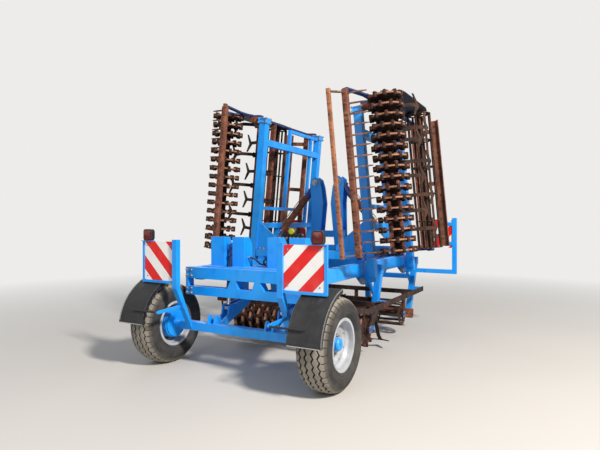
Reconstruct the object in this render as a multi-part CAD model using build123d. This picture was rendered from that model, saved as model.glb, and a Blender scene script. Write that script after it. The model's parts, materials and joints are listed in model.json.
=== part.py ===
# Seedbed cultivator, semi-mounted, six metres wide at work.  It stands as it parks, on its
# transport wheels and its drawbar leg, with both wings folded up.
# Millimetres, +Z up, +Y forward, +X to the right.  The machine is drawn with y = 0 at the
# transport axle.  The last step moves it so that the origin is on the ground, below the
# middle of the whole machine.
from build123d import *
from math import atan2, cos, degrees, hypot, radians, sin, sqrt, tan
import os

# Fits and gaps
running_gap = 0.05
seat_gap = 0.3
moving_gap = 8

# Transport wheels
tyre_diameter = 890
tyre_width = 336
tyre_tread_width = 262
tyre_shoulder_drop = 24
tyre_wall = 18
bead_radius = 230
wheel_track_half = 1038
rim_width = 280
rim_wall = 8
rim_flange_radius = 252
rim_drop_radius = 205
rim_drop_width = 130
rim_step = 44
disc_setback = 105
disc_thickness = 14
hub_radius = 62
hub_overhang = 70
drum_radius = 160
drum_length = 90
stub_axle_radius = 38

# Swing axle that carries the wheels, the boards and the mudguards
axle_tube = 90
axle_half = 800
arm_x = 370
arm_plate = 20
arm_depth = 88
axle_pivot_y = 580
axle_pivot_z = 660
axle_pin_radius = 25
axle_eye_y = 270
axle_eye_z = 620
axle_ram_top_y = 360
axle_ram_top_z = 1300
lug_top_z = 585
lug_width = 25
arm_saddle_y = 70
arm_saddle_z = 500
arm_saddle_run = 40
eye_lobe = 48
eye_lobe_reach = 65

# Warning boards, lamps and mudguards behind the axle
board_side = 423
board_thickness = 8
board_inner_x = 684.5
board_y = -262
carrier_height = 26.4
carrier_half = 12
post_tube = 60
post_bend_rise = 435
post_foot_drop = 5
post_above_board = 21
upright_tube = 30
lamp_width = 118
lamp_height = 125
lamp_depth = 62
lamp_foot = 6
guard_clearance = 90
guard_inner_radius = tyre_diameter / 2 + guard_clearance
guard_thickness = 10
guard_width = 340
guard_front_angle = 99
guard_rear_angle = 172
guard_lip = 45
guard_lip_wall = 6
stay_radius = 10
stay_angle = 157
stay_overlap = 160

# Fold geometry of the wings
hinge_x = 780
hinge_z = 870
wing_lean = 5.35
hinge_pin_radius = 25
hinge_boss_radius = 45
hinge_knuckle_half = 30
hinge_ear_gap = 5
hinge_ear = 25

# Centre frame
main_beam_x = 720
main_beam_width = 100
main_beam_low_z = 930
main_beam_high_z = 1080
frame_rear_y = 170
frame_front_y = 3560
cross_beam_half = 800
cross_beam_low_z = 1120
cross_beam_height = 100
cross_beam_width = 110
hinge_beam_ys = (1500, 3100)
tower_beam_width = 140
pivot_beam_width = 110
front_beam_width = 100

# Rear frame
rear_half = 820
rear_depth = 100
upper_beam_low_z = 955
lower_beam_low_z = 770
lower_beam_height = 95
rear_end_plate = 30
gusset_inner_x = 90
gusset_top_x = 190
gusset_low_x = 237
deck_low_z = 985
deck_rear_gap = 35
deck_front_gap = 20
ram_boss_radius = 40
deck_front_y = 430
cheek_top_z = 1420
cheek_rows = ((152, 314), (426, 618))
cheek_rear_y = 270
ram_slot_half = 62

# Tower that carries the fold cylinders
tower_y = 2100
tower_pin_x = 180
tower_pin_z = 2150
tower_plate = 14
tower_half_gap = 60
# Post outline: height above the side beams, inner edge and outer edge
tower_sections = ((0, 140, 272), (370, 100, 248), (770, 60, 240), (1000, 90, 260), (1110, 126, 240))
tower_crown = (182, 1152)
tower_core_post = (150, 236, 400)
tower_cross = (300, 390)
tower_boss_radius = 40

# Valve block on the rear cross beam, and the hoses from it to the cheeks
valve_inner_x = -95
valve_sections = 5
valve_section_width = 52
valve_gap = 4
valve_depth = 80
valve_height = 200
valve_foot = 12
coil_radius = 19
coil_length = 46
filter_radius = 32
filter_length = 34
hose_radius = 9
fitting_radius = 14
fitting_length = 26

# Drawbar, yoke and parking leg
drawbar_width = 90
drawbar_height = 120
drawbar_root_x = 400
drawbar_root_z = 1000
drawbar_nose_y = 3960
hitch_y = 4050
hitch_z = 650
hitch_plate = 24
hitch_boss_radius = 62
hitch_boss_height = 88
hitch_pin_radius = 28
link_shaft_y = 4250
link_shaft_size = 80
link_shoulder_half = 482.5
link_pin_radius = 18.3
link_pin_length = 62
leg_tube = 80
leg_sleeve_wall = 12
leg_gap = 0.3
leg_sleeve_low_z = 720
leg_top_z = 1130
leg_foot_side = 240
leg_foot_thickness = 14

# Tool sections, measured as depth below the hinge line
wing_section = (286, 2186)
centre_section = (-950, 950)
side_plate = 20
rail_depth = 330
rail_height = 70
rail_rear_y = 1190
wing_rail_front_y = 3150
tine_bar_ys = (1720, 2080)
front_bar_y = 3100
cross_tube = 60

# Toothed ring roller
ring_roller_y = 1260
ring_roller_depth = 545
ring_diameter = 420
ring_pitch = 118
ring_thickness = 42
ring_teeth = 10
ring_root_radius = 160
roller_shaft = 70
roller_stub_radius = 20
bearing_boss_radius = 52

# Cage roller
cage_y = 2550
cage_depth = 570
cage_diameter = 330
cage_bars = 8
cage_bar_width = 30
cage_bar_height = 12
cage_discs = 6
cage_disc = 8
cage_core_radius = 30

# Tines and shares
wing_tines = ((1720, (800, 1220, 1660, 2080)), (2080, (580, 1010, 1440, 1870)))
centre_tines = ((1720, (-900, -430, 0, 430, 900)), (2080, (-645, -215, 215, 645)))
tine_thickness = 14
tine_width = 45
tine_tip_depth = 785
share_half = 130
share_length = 150
share_thickness = 8

# Scraper comb, guard bar and levelling board
comb_y = 800
comb_depth = 247
comb_tube = 64
spike_length = 200
spike_size = 12
guard_bar_y = 640
guard_bar_depth = 120
guard_bar_size = 42
peg_length = 22
level_top_depth = 585
level_low_depth = 690
level_plate = 12
level_arms = 3
level_arm_width = 60
level_arm_lap = 60
end_plate_thickness = 8
end_plate_rear_y = 1335
end_plate_front_y = 2700
end_plate_inner_depth = 296
end_plate_outer_depth = 722

# Wing frame
wing_beam_depth = 110
wing_beam = 100
wing_beam_start = 30
wing_beam_end = 2150
outer_tie_at = 1820
outer_tie = 90
middle_tie_at = 910
middle_tie = 45
middle_tie_front_y = 2525
ram_tie_at = 665
ram_tie = 70
strut_rows = ((2200, middle_tie_at, 2100), (2860, ram_tie_at, 2100))
strut_tube = 45
lever_plate = 30

# Fold cylinders
fold_pin_s = 470
fold_pin_n = 134
barrel_radius = 48
rod_radius = 25
eye_radius = 45
eye_width = 50
ear_gap = 8
ear_plate = 14
fold_barrel_end = 870
axle_barrel_end = 500

# Drop legs of the centre section and the front warning boards
leg_rows = (1900, 3500)
drop_leg = (90, 80)
drop_leg_top_x = 820
drop_leg_low_x = 725
drop_leg_low_z = 190
brace_plate = (740, 764)
brace_run = 200
brace_width = 80
brace_low_z = 650
bracket_outer_x = 868
front_sign_y = 3275
front_bracket_low_z = 820
front_bracket = 60
front_post_x = 1480
front_post = 60
front_post_top_z = 1650
front_board_low_z = 1205


def block(x0, x1, y0, y1, z0, z1):
    """A block between two corners."""
    shape = Box(x1 - x0, y1 - y0, z1 - z0)
    return Pos((x0 + x1) / 2, (y0 + y1) / 2, (z0 + z1) / 2) * shape


def plate_x(points, x0, x1):
    """A plate with its outline in (y, z), between two x planes."""
    face = Plane.YZ * Polygon(*points, align=None)
    return Pos(x0, 0, 0) * extrude(face, x1 - x0, dir=(1, 0, 0))


def plate_y(points, y0, y1):
    """A plate with its outline in (x, z), between two y planes."""
    face = Plane.XZ * Polygon(*points, align=None)
    return Pos(0, y0, 0) * extrude(face, y1 - y0, dir=(0, 1, 0))


def bar_x(radius, x0, x1, y, z):
    """A round bar along X."""
    return Pos((x0 + x1) / 2, y, z) * Rot(0, 90, 0) * Cylinder(radius, x1 - x0)


def bar_y(radius, x, y0, y1, z):
    """A round bar along Y."""
    return Pos(x, (y0 + y1) / 2, z) * Rot(90, 0, 0) * Cylinder(radius, y1 - y0)


def bar_z(radius, x, y, z0, z1):
    """A round bar along Z."""
    return Pos(x, y, (z0 + z1) / 2) * Cylinder(radius, z1 - z0)


def flat_yz(start, end, width, x0, x1):
    """A flat bar between two (y, z) points, lying between two x planes."""
    dy, dz = end[0] - start[0], end[1] - start[1]
    middle = Pos((x0 + x1) / 2, (start[0] + end[0]) / 2, (start[1] + end[1]) / 2)
    return middle * Rot(degrees(atan2(dz, dy)), 0, 0) * Box(x1 - x0, hypot(dy, dz), width)


def beam(start, end, width, height):
    """A straight beam between two points, its width level and its height upright."""
    along = Vector(*end) - Vector(*start)
    level = Vector(0, 0, 1).cross(along)
    section = Plane(origin=start, x_dir=level, z_dir=along)
    return extrude(section * Rectangle(width, height), along.length)


def other_side(shape):
    """The same piece on the other side of the machine."""
    return mirror(shape, about=Plane.YZ)


def both(shape):
    """A piece and its mirror image in one node."""
    solids = list(shape.solids()) + list(other_side(shape).solids())
    return Compound(children=solids)


def folded(shape):
    """A piece of the right wing, drawn about its hinge, turned up to its parked place."""
    return Pos(hinge_x, 0, hinge_z) * Rot(0, -(90 + wing_lean), 0) * shape


def lowered(shape):
    """A piece of the centre section, drawn from the hinge height down."""
    return Pos(0, 0, hinge_z) * shape


def direction(start, end):
    """The unit vector from one point to another."""
    return (Vector(*end) - Vector(*start)).normalized()


# Cylinders, drawn along +X from the eye of the barrel, with the pins along Y

def barrel(length, radius):
    """Barrel with its eye and gland, bored for the rod."""
    tube = bar_x(radius, eye_radius + 8, length, 0, 0)
    gland = bar_x(radius + 6, length - 40, length, 0, 0)
    eye = bar_y(eye_radius, 0, -eye_width / 2, eye_width / 2, 0)
    neck = block(0, eye_radius + 12, -eye_width / 2, eye_width / 2, -34, 34)
    port = bar_z(14, eye_radius + 45, 0, radius - 6, radius + 22)
    shape = tube + gland + eye + neck + port
    shape -= bar_y(hinge_pin_radius + running_gap, 0, -eye_width, eye_width, 0)
    return shape - bar_x(rod_radius + running_gap, eye_radius + 28, length + 1, 0, 0)


def rod(start, length):
    """Rod with its eye, whose bore is open: the pin keeps to the ears."""
    shape = bar_x(rod_radius, start, length - eye_radius + 6, 0, 0)
    eye = bar_y(eye_radius, length, -eye_width / 2, eye_width / 2, 0)
    return shape + eye - bar_y(hinge_pin_radius + 2, length, -eye_width, eye_width, 0)


def cylinder_place(top, bottom, pin_axis):
    """Where a cylinder lies, from its upper pin towards its lower one."""
    along = direction(top, bottom)
    return Plane(origin=top, x_dir=along, z_dir=along.cross(Vector(*pin_axis))).location


# Tool sections, drawn with the hinge line at z = 0

def ring_roller(x0, x1):
    """Toothed rings on a square shaft that ends in two round stubs."""
    first = x0 + side_plate + moving_gap
    last = x1 - side_plate - moving_gap
    count = int((last - first - ring_thickness) // ring_pitch) + 1
    middle = (first + last) / 2
    step = 360 / ring_teeth
    outline = []
    for k in range(ring_teeth):
        for share, radius in ((-0.15, ring_diameter / 2), (0.15, ring_diameter / 2), (0.5, ring_root_radius)):
            a = radians((k + share) * step)
            outline.append((radius * cos(a), radius * sin(a)))
    half = ring_thickness / 2
    rings = []
    for k in range(count):
        x = middle + (k - (count - 1) / 2) * ring_pitch
        rings.append(Rot(step / 2 * (k % 2), 0, 0) * plate_x(outline, x - half, x + half))
    side = roller_shaft / 2
    shaft = block(first, last, -side, side, -side, side)
    stubs = bar_x(roller_stub_radius, x0 + 2, x1 - 2, 0, 0)
    return Pos(0, ring_roller_y, -ring_roller_depth) * (shaft + rings + stubs)


def cage_roller(x0, x1):
    """Flat bars on a row of discs, with a centre tube and two round stubs."""
    first = x0 + side_plate + moving_gap
    last = x1 - side_plate - moving_gap
    radius = cage_diameter / 2 - cage_bar_height
    step = 360 / cage_bars
    corner = radius / cos(radians(step / 2))
    angles = [radians(step * (k + 0.5)) for k in range(cage_bars)]
    outline = [(corner * cos(a), corner * sin(a)) for a in angles]
    pitch = (last - first - cage_disc) / (cage_discs - 1)
    discs = [plate_x(outline, first + k * pitch, first + k * pitch + cage_disc) for k in range(cage_discs)]
    half = cage_bar_width / 2
    bar = block(first, last, -half, half, radius - 1, radius + cage_bar_height)
    bars = [Rot(step * k, 0, 0) * bar for k in range(cage_bars)]
    core = bar_x(cage_core_radius, first, last, 0, 0)
    stubs = bar_x(roller_stub_radius, x0 + 2, x1 - 2, 0, 0)
    return Pos(0, cage_y, -cage_depth) * (core + discs + bars + stubs)


def side_frame(x0, x1, rail_front_y):
    """One side plate of a section: its rail and the arms down to both rollers."""
    low, high = -rail_depth - rail_height / 2, -rail_depth + rail_height / 2
    ring = (ring_roller_y, -ring_roller_depth)
    cage = (cage_y, -cage_depth)
    shape = block(x0, x1, rail_rear_y, rail_front_y, low, high)
    shape += flat_yz((rail_rear_y + 30, -rail_depth), (comb_y, -comb_depth), 64, x0, x1)
    shape += flat_yz((rail_rear_y + 330, -rail_depth), ring, 84, x0, x1)
    shape += bar_x(bearing_boss_radius, x0, x1, *ring)
    shape += flat_yz((cage_y + 40, -rail_depth), cage, 84, x0, x1)
    shape += bar_x(bearing_boss_radius, x0, x1, *cage)
    for y, z in (ring, cage):
        shape -= bar_x(roller_stub_radius + running_gap, x0 - 1, x1 + 1, y, z)
    return shape


def section_frame(x0, x1, rail_front_y):
    """Both side plates of a section, tied by the tine bars and the front bar."""
    shape = side_frame(x0, x0 + side_plate, rail_front_y)
    shape += side_frame(x1 - side_plate, x1, rail_front_y)
    half = cross_tube / 2
    for y in (*tine_bar_ys, front_bar_y):
        shape += block(x0 + 1, x1 - 1, y - half, y + half, -rail_depth - half, -rail_depth + half)
    return shape


def tine(x, bar_y_at):
    """One spring tine bent back below its bar and forward to its share."""
    top = -rail_depth - cross_tube / 2 - tine_thickness / 2
    low = -tine_tip_depth
    path = FilletPolyline(
        (bar_y_at + 28, top),
        (bar_y_at - 105, top),
        (bar_y_at - 165, top - 130),
        (bar_y_at - 60, low + 90),
        (bar_y_at + 18, low + 18),
        radius=42,
    )
    strip = extrude(Plane.YZ * trace(path, tine_thickness), tine_width / 2, both=True)
    nose = share_length / 2
    outline = ((0, nose), (share_half, -nose + 18), (share_half, -nose - 22), (0, nose - 92),
               (-share_half, -nose - 22), (-share_half, -nose + 18))
    share = extrude(Polygon(*outline, align=None), share_thickness, dir=(0, 0, 1))
    share = Pos(0, bar_y_at + 28, low + 14) * Rot(-9, 0, 0) * share
    return Pos(x, 0, 0) * (strip + share)


def tines(rows):
    """All tines of a section, in their two rows."""
    return Compound(children=[s for y, xs in rows for x in xs for s in tine(x, y).solids()])


def comb(x0, x1, with_guard):
    """Scraper beam with one finger between each pair of rings."""
    first, last = x0 + side_plate, x1 - side_plate
    half = comb_tube / 2
    shape = block(first, last, comb_y - half, comb_y + half, -comb_depth - half, -comb_depth + half)
    count = int((last - first - 60) // ring_pitch) + 1
    middle = (first + last) / 2
    for k in range(count):
        x = middle + (k - (count - 1) / 2) * ring_pitch
        start = (comb_y + 10, -comb_depth - half + 8)
        end = (comb_y + 55, -comb_depth - half - spike_length)
        shape += flat_yz(start, end, spike_size, x - spike_size / 2, x + spike_size / 2)
    if with_guard:
        shape += guard_bar(first, last, count, middle)
    return shape


def guard_bar(first, last, count, middle):
    """Thin bar behind the scraper, with a peg at each ring."""
    half = guard_bar_size / 2
    y, z = guard_bar_y, -guard_bar_depth
    shape = block(first, last, y - half, y + half, z - half, z + half)
    for x in (first + 30, last - 30):
        shape += flat_yz((y, z), (comb_y, -comb_depth), 34, x - 8, x + 8)
    for k in range(count):
        x = middle + (k - (count - 1) / 2) * ring_pitch
        shape += block(x - 6, x + 6, y - half - peg_length, y, z - 6, z + 6)
    return shape


def levelling_board(x0, x1):
    """Board ahead of the tines, hung on flat arms below the front bar."""
    y = front_bar_y
    board = block(x0 + 30, x1 - 30, y, y + level_plate, -level_low_depth, -level_top_depth)
    kick = flat_yz((y + 6, -level_low_depth + 8), (y - 40, -level_low_depth - 22), level_plate, x0 + 30, x1 - 30)
    shape = board + kick
    half = level_arm_width / 2
    inset = 3 * level_arm_width
    span = x1 - x0 - 2 * inset
    top = -rail_depth - cross_tube / 2
    for k in range(level_arms):
        x = x0 + inset + span * k / (level_arms - 1)
        shape += block(x - half, x + half, y - level_plate, y, -level_top_depth - level_arm_lap, top)
    return shape


def end_plate(x1):
    """Shield plate with cut corners over the outer end of a wing's rollers and tines."""
    rear, front = end_plate_rear_y, end_plate_front_y
    near, far = -end_plate_inner_depth, -end_plate_outer_depth
    outline = ((rear, near - 60), (rear + 110, near), (front - 400, near), (front, near - 44),
               (front - 10, near - 180), (front - 140, far + 32), (front - 300, far), (rear + 145, far),
               (rear + 10, far + 22))
    return plate_x(outline, x1, x1 + end_plate_thickness)


# Wing frame, drawn for the right wing with the hinge line at the origin

def knuckle(y):
    """Root of one wing beam, turning on the hinge pin."""
    outline = ((-38, -24), (-20, -155), (60, -160), (300, -160), (300, -66), (60, -20), (40, -10))
    half = hinge_knuckle_half
    shape = plate_y(outline, y - half, y + half)
    shape += bar_y(hinge_boss_radius, 0, y - half, y + half, 0)
    return shape - bar_y(hinge_pin_radius + running_gap, 0, y - half - 1, y + half + 1, 0)


def wing_frame():
    """Two beams, their ties and struts, the lever plate and the cylinder's ears."""
    half, mid = wing_beam / 2, -wing_beam_depth
    rear, front = hinge_beam_ys
    shape = None
    for y in hinge_beam_ys:
        part = block(wing_beam_start, wing_beam_end, y - half, y + half, mid - half, mid + half) + knuckle(y)
        shape = part if shape is None else shape + part
    for at, size, end in ((outer_tie_at, outer_tie, front), (ram_tie_at, ram_tie, front),
                          (middle_tie_at, middle_tie, middle_tie_front_y)):
        shape += block(at - size / 2, at + size / 2, rear, end, mid - size / 2, mid + size / 2)
    h = strut_tube / 2
    for y, start, end in strut_rows:
        shape += block(start, end, y - h, y + h, mid - h, mid + h)
    shape += block(end - 45, end, strut_rows[0][0], front, mid - h, mid + h)
    lever = ((348, -93), (390, 349), (455, 343), (745, -90))
    shape += plate_y(lever, rear - lever_plate / 2, rear + lever_plate / 2)
    return shape + wing_ears()


def wing_ears():
    """Two ears on the inner tie, with pin ends outside them."""
    inner = eye_width / 2 + ear_gap
    at, depth = fold_pin_s, -fold_pin_n
    outline = ((at - 42, depth - 30), (at - 42, depth + 30), (ram_tie_at, -wing_beam_depth + 34),
               (ram_tie_at, -wing_beam_depth - 34 - 20))
    shape = None
    for sign in (-1, 1):
        near = tower_y + sign * inner
        far = near + sign * ear_plate
        plate = plate_y(outline, min(near, far), max(near, far))
        end = bar_y(hinge_pin_radius, at, min(far, far + sign * 20), max(far, far + sign * 20), depth)
        shape = plate + end if shape is None else shape + plate + end
    return shape


def wing_drops(x0, x1):
    """Hangers from the wing beams down to the rails of the section."""
    top, low = -wing_beam_depth - wing_beam / 2, -rail_depth
    shape = None
    for y in hinge_beam_ys:
        for a, b in ((x0, x0 + 60), (x1 - 96, x1)):
            part = block(a, b, y - 40, y + 40, low, top)
            shape = part if shape is None else shape + part
    return shape


# Centre frame

def hinge_ears(y):
    """Two ears below the side beam with the hinge pin, for one wing beam."""
    shape = bar_y(hinge_pin_radius, hinge_x, y - 75, y + 75, hinge_z)
    inner = hinge_knuckle_half + hinge_ear_gap
    outline = ((690, main_beam_low_z), (690, 900), (750, hinge_z - 44), (hinge_x, hinge_z - 44),
               (hinge_x + 46, hinge_z), (hinge_x + 20, main_beam_low_z))
    for sign in (-1, 1):
        near, far = y + sign * inner, y + sign * (inner + hinge_ear)
        ear = plate_y(outline, min(near, far), max(near, far))
        ear += bar_y(48, hinge_x, min(near, far), max(near, far), hinge_z)
        shape += ear
    return shape


def main_frame():
    """Side beams, cross beams, tower beam, pivot beam and front beam in one weldment."""
    low, high = main_beam_low_z, main_beam_high_z
    inner, outer = main_beam_x - main_beam_width / 2, main_beam_x + main_beam_width / 2
    side = block(inner, outer, frame_rear_y, frame_front_y, low, high)
    for y in hinge_beam_ys:
        side += hinge_ears(y)
        side += block(inner, outer, y - 50, y + 50, high, cross_beam_low_z)
    for y in leg_rows:
        w = drop_leg[0] / 2
        side += block(outer, bracket_outer_x, y - w, y + w, low, high - 40)
    side += block(outer, outer + 14, front_sign_y - 20, front_sign_y + 80, low - 120, high - 20)
    shape = side + other_side(side)
    half = cross_beam_width / 2
    for y in hinge_beam_ys:
        top = cross_beam_low_z + cross_beam_height
        shape += block(-cross_beam_half, cross_beam_half, y - half, y + half, cross_beam_low_z, top)
    for y0, y1 in ((tower_y - tower_beam_width / 2, tower_y + tower_beam_width / 2),
                   (axle_pivot_y - pivot_beam_width / 2, axle_pivot_y + pivot_beam_width / 2),
                   (frame_front_y - front_beam_width, frame_front_y)):
        shape += block(-inner, inner, y0, y1, low, high)
    bracket = pivot_bracket()
    shape += bracket + other_side(bracket)
    outer = leg_tube / 2 + leg_sleeve_wall + leg_gap
    hollow = leg_tube / 2 + leg_gap
    y = frame_front_y + outer - 1
    shape += block(-outer, outer, y - outer, y + outer, leg_sleeve_low_z, high)
    return shape - block(-hollow, hollow, y - hollow, y + hollow, leg_sleeve_low_z - 1, high + 1)


def pivot_bracket():
    """Hanger from the pivot beam down to the axle pivot, with its pin."""
    half = eye_width / 2
    y, z = axle_pivot_y, axle_pivot_z
    outline = ((y - 55, main_beam_low_z), (y - 44, z), (y + 44, z), (y + 55, main_beam_low_z))
    shape = plate_x(outline, arm_x - half, arm_x + half)
    shape += bar_x(44, arm_x - half, arm_x + half, y, z)
    reach = half + moving_gap + arm_plate + 12
    return shape + bar_x(axle_pin_radius, arm_x - reach, arm_x + reach, y, z)


def rear_frame():
    """Two rear cross beams with end plates and gussets."""
    y0, y1 = frame_rear_y - rear_depth, frame_rear_y
    upper, top = upper_beam_low_z, main_beam_high_z
    lower = lower_beam_low_z + lower_beam_height
    shape = block(-rear_half, rear_half, y0, y1, upper, top)
    shape += block(-rear_half, rear_half, y0, y1, lower_beam_low_z, lower)
    side = block(rear_half - rear_end_plate, rear_half, y0, y1, lower_beam_low_z, top)
    gusset = ((gusset_inner_x, lower), (gusset_low_x, lower), (gusset_top_x, upper), (gusset_inner_x + 30, upper))
    side += plate_y(gusset, y0, y1)
    return shape + side + other_side(side)


def ram_deck():
    """Deck boxes round the slots of the axle cylinders, with the cheeks, bosses and pins above."""
    y0, y1 = frame_rear_y, deck_front_y
    low, top = deck_low_z, main_beam_high_z + 10
    slot_inner, slot_outer = arm_x - ram_slot_half, arm_x + ram_slot_half
    slot_rear, slot_front = y0 + deck_rear_gap, y1 - deck_front_gap
    half = [
        block(slot_outer, main_beam_x - main_beam_width / 2, y0, y1, low, top),
        block(slot_inner, slot_outer, y0, slot_rear, low, top),
        block(slot_inner, slot_outer, slot_front, y1, low, top),
    ]
    for x0, x1 in cheek_rows:
        outline = ((cheek_rear_y, top), (y1, top), (y1, cheek_top_z - 90), (y1 - 60, cheek_top_z),
                   (cheek_rear_y, cheek_top_z))
        half.append(plate_x(outline, x0, x1))
    reach = eye_width / 2 + ear_gap
    y, z = axle_ram_top_y, axle_ram_top_z
    half.append(bar_x(hinge_pin_radius, arm_x - reach, arm_x + reach, y, z))
    half.append(bar_x(ram_boss_radius, cheek_rows[0][1], arm_x - reach, y, z))
    half.append(bar_x(ram_boss_radius, arm_x + reach, cheek_rows[1][0], y, z))
    middle = block(-slot_inner, slot_inner, y0, y1, low, top)
    return Compound(children=[middle] + half + [other_side(shape) for shape in half])


def tower():
    """Four goose-necked plates, each with its boss and an end of the fold cylinder's pin."""
    base = main_beam_high_z
    outer_edge = [(outer, base + rise) for rise, inner, outer in tower_sections]
    inner_edge = [(inner, base + rise) for rise, inner, outer in reversed(tower_sections)]
    outline = outer_edge + [(tower_crown[0], base + tower_crown[1])] + inner_edge
    near, far = tower_half_gap, tower_half_gap + tower_plate
    boss_end = eye_width / 2 + ear_gap
    plates = []
    for sign in (-1, 1):
        y0, y1 = sorted((tower_y + sign * near, tower_y + sign * far))
        b0, b1 = sorted((tower_y + sign * boss_end, tower_y + sign * near))
        p0, p1 = sorted((tower_y + sign * far, tower_y + sign * (far + tower_plate)))
        plate = plate_y(outline, y0, y1) + bar_y(tower_boss_radius, tower_pin_x, b0, b1, tower_pin_z)
        plates.append(plate + bar_y(hinge_pin_radius, tower_pin_x, p0, p1, tower_pin_z))
    return Compound(children=plates + [other_side(plate) for plate in plates])


def tower_core():
    """Spacer posts and the cross tube between the tower's plates, and the middles of the pins."""
    base = main_beam_high_z
    y0, y1 = tower_y - tower_half_gap, tower_y + tower_half_gap
    boss_end = eye_width / 2 + ear_gap
    core_inner, core_outer, core_height = tower_core_post
    low, high = tower_cross
    half = [
        block(core_inner, core_outer, y0, y1, base, base + core_height),
        bar_y(hinge_pin_radius, tower_pin_x, tower_y - boss_end, tower_y + boss_end, tower_pin_z),
    ]
    cross = block(-core_inner, core_inner, y0, y1, base + low, base + high)
    return Compound(children=[cross] + half + [other_side(shape) for shape in half])


def valve_block():
    """Valve sections side by side on a foot, each with two coils, and a capped filter."""
    middle = hinge_beam_ys[0]
    base = cross_beam_low_z + cross_beam_height
    half, top = valve_depth / 2, base + valve_foot + valve_height
    width = valve_sections * (valve_section_width + valve_gap) - valve_gap
    x1 = valve_inner_x
    x0 = x1 - width
    shape = block(x0, x1, middle - half - valve_foot, middle + half + valve_foot, base, base + valve_foot)
    shape += block(x0 + 6, x1 - 6, middle - half + 6, middle + half - 6, base + valve_foot, top - 6)
    for k in range(valve_sections):
        x = x0 + k * (valve_section_width + valve_gap)
        shape += block(x, x + valve_section_width, middle - half, middle + half, base + valve_foot, top)
        for share in (0.3, 0.72):
            z = base + valve_foot + share * valve_height
            shape += bar_y(coil_radius, x + valve_section_width / 2, middle - half - coil_length, middle - half, z)
    x = (x0 + x1) / 2
    return shape + bar_z(filter_radius, x, middle, top, top + filter_length)


def hose_routes():
    """Both hoses from the cheeks over the deck and the pivot beam to the valve block."""
    deck_z = main_beam_high_z + 10 + hose_radius
    port_y = hinge_beam_ys[0] - valve_depth / 2
    port_z = cross_beam_low_z + cross_beam_height + valve_foot + 0.5 * valve_height
    cheek_x = cheek_rows[0][0] - fitting_length
    port_x = valve_inner_x - valve_section_width - valve_gap / 2
    left = ((-cheek_x, 350, 1190), (-88, 352, 1188), (-52, 368, 1160), (-36, 402, 1124), (-40, 452, 1106),
            (-62, 524, 1100), (-92, 612, 1104), (-124, 716, 1114), (-150, 832, 1126), (-166, 952, 1140),
            (-170, 1068, 1160), (-164, 1178, 1190), (-156, 1274, 1228), (port_x - 1, 1352, 1272),
            (port_x, 1412, port_z - 6), (port_x, port_y - fitting_length, port_z))
    right = ((cheek_x, 330, 1190), (90, 328, 1186), (58, 340, 1154), (44, 372, 1118), (34, 424, deck_z + 4),
             (8, 496, deck_z), (-18, 590, deck_z + 4), (-32, 700, 1118), (-34, 824, 1134), (-40, 950, 1150),
             (-54, 1072, 1170), (-72, 1182, 1198), (-88, 1278, 1234), (-96, 1354, 1276),
             (port_x + 54, 1412, port_z - 6), (port_x + 56, port_y - fitting_length, port_z))
    return left, right


def hose(points):
    """A hose along its points, each corner an arc as large as its two runs allow."""
    radii = []
    for before, at, after in zip(points, points[1:], points[2:]):
        first, second = Vector(*at) - Vector(*before), Vector(*after) - Vector(*at)
        turn = radians(first.get_angle(second))
        radii.append(0.45 * min(first.length, second.length) / tan(turn / 2))
    path = FilletPolyline(*points, radius=radii)
    print("hose radii", [round(radius) for radius in radii], "length", round(path.length))
    section = Plane(origin=path @ 0, z_dir=path % 0) * Circle(hose_radius)
    return sweep(section, path=path)


def hose_fittings():
    """The fittings at both ends of each hose, with the hose's own end cut out."""
    cheek_x = cheek_rows[0][0]
    port_y = hinge_beam_ys[0] - valve_depth / 2
    solids = []
    for route in hose_routes():
        tube = hose(route)
        x, y, z = route[0]
        side = 1 if x > 0 else -1
        solids.append(bar_x(fitting_radius, *sorted((x, side * cheek_x)), y, z) - tube)
        x, y, z = route[-1]
        solids.append(bar_y(fitting_radius, x, y, port_y, z) - tube)
    return Compound(children=solids)


def drawbar():
    """Two beams that run forward and down to the two plates of the hitch."""
    start = (drawbar_root_x, frame_front_y - 90, drawbar_root_z)
    end = (55, drawbar_nose_y, hitch_z)
    side = beam(start, end, drawbar_width, drawbar_height)
    side -= block(0, 2000, 0, frame_front_y, 0, 2000)
    side -= block(-500, 0, 0, 6000, 0, 2000)
    shape = side + other_side(side)
    gap = hitch_boss_height / 2 + 6
    for sign in (-1, 1):
        z0, z1 = sorted((hitch_z + sign * gap, hitch_z + sign * (gap + hitch_plate)))
        plate = block(-hitch_boss_radius, hitch_boss_radius, drawbar_nose_y - 80, hitch_y, z0, z1)
        shape += plate + bar_z(hitch_boss_radius, 0, hitch_y, z0, z1)
    shape += block(-72, 72, drawbar_nose_y - 110, drawbar_nose_y - 10, hitch_z - 75, hitch_z + 75)
    reach = gap + hitch_plate + 14
    shape += bar_z(hitch_pin_radius, 0, hitch_y, hitch_z - reach, hitch_z + reach)
    return shape


def hitch_yoke():
    """Swivelling head with the cross shaft for the lower links."""
    half, side = hitch_boss_height / 2, link_shaft_size / 2
    shape = bar_z(hitch_boss_radius, 0, hitch_y, hitch_z - half, hitch_z + half)
    shape += block(-50, 50, hitch_y, link_shaft_y, hitch_z - 36, hitch_z + 36)
    reach = link_shoulder_half
    shape += block(-reach, reach, link_shaft_y - side, link_shaft_y + side, hitch_z - side, hitch_z + side)
    shape += bar_x(link_pin_radius, -reach - link_pin_length, reach + link_pin_length, link_shaft_y, hitch_z)
    return shape - bar_z(hitch_pin_radius + running_gap, 0, hitch_y, hitch_z - half - 1, hitch_z + half + 1)


def parking_leg():
    """Square leg that slides in its sleeve, with its foot on the ground."""
    side = leg_tube / 2
    y = frame_front_y + side + leg_sleeve_wall + leg_gap - 1
    foot = leg_foot_side / 2
    shape = block(-side, side, y - side, y + side, leg_foot_thickness, leg_top_z)
    return shape + block(-foot, foot, y - foot, y + foot, 0, leg_foot_thickness)


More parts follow.
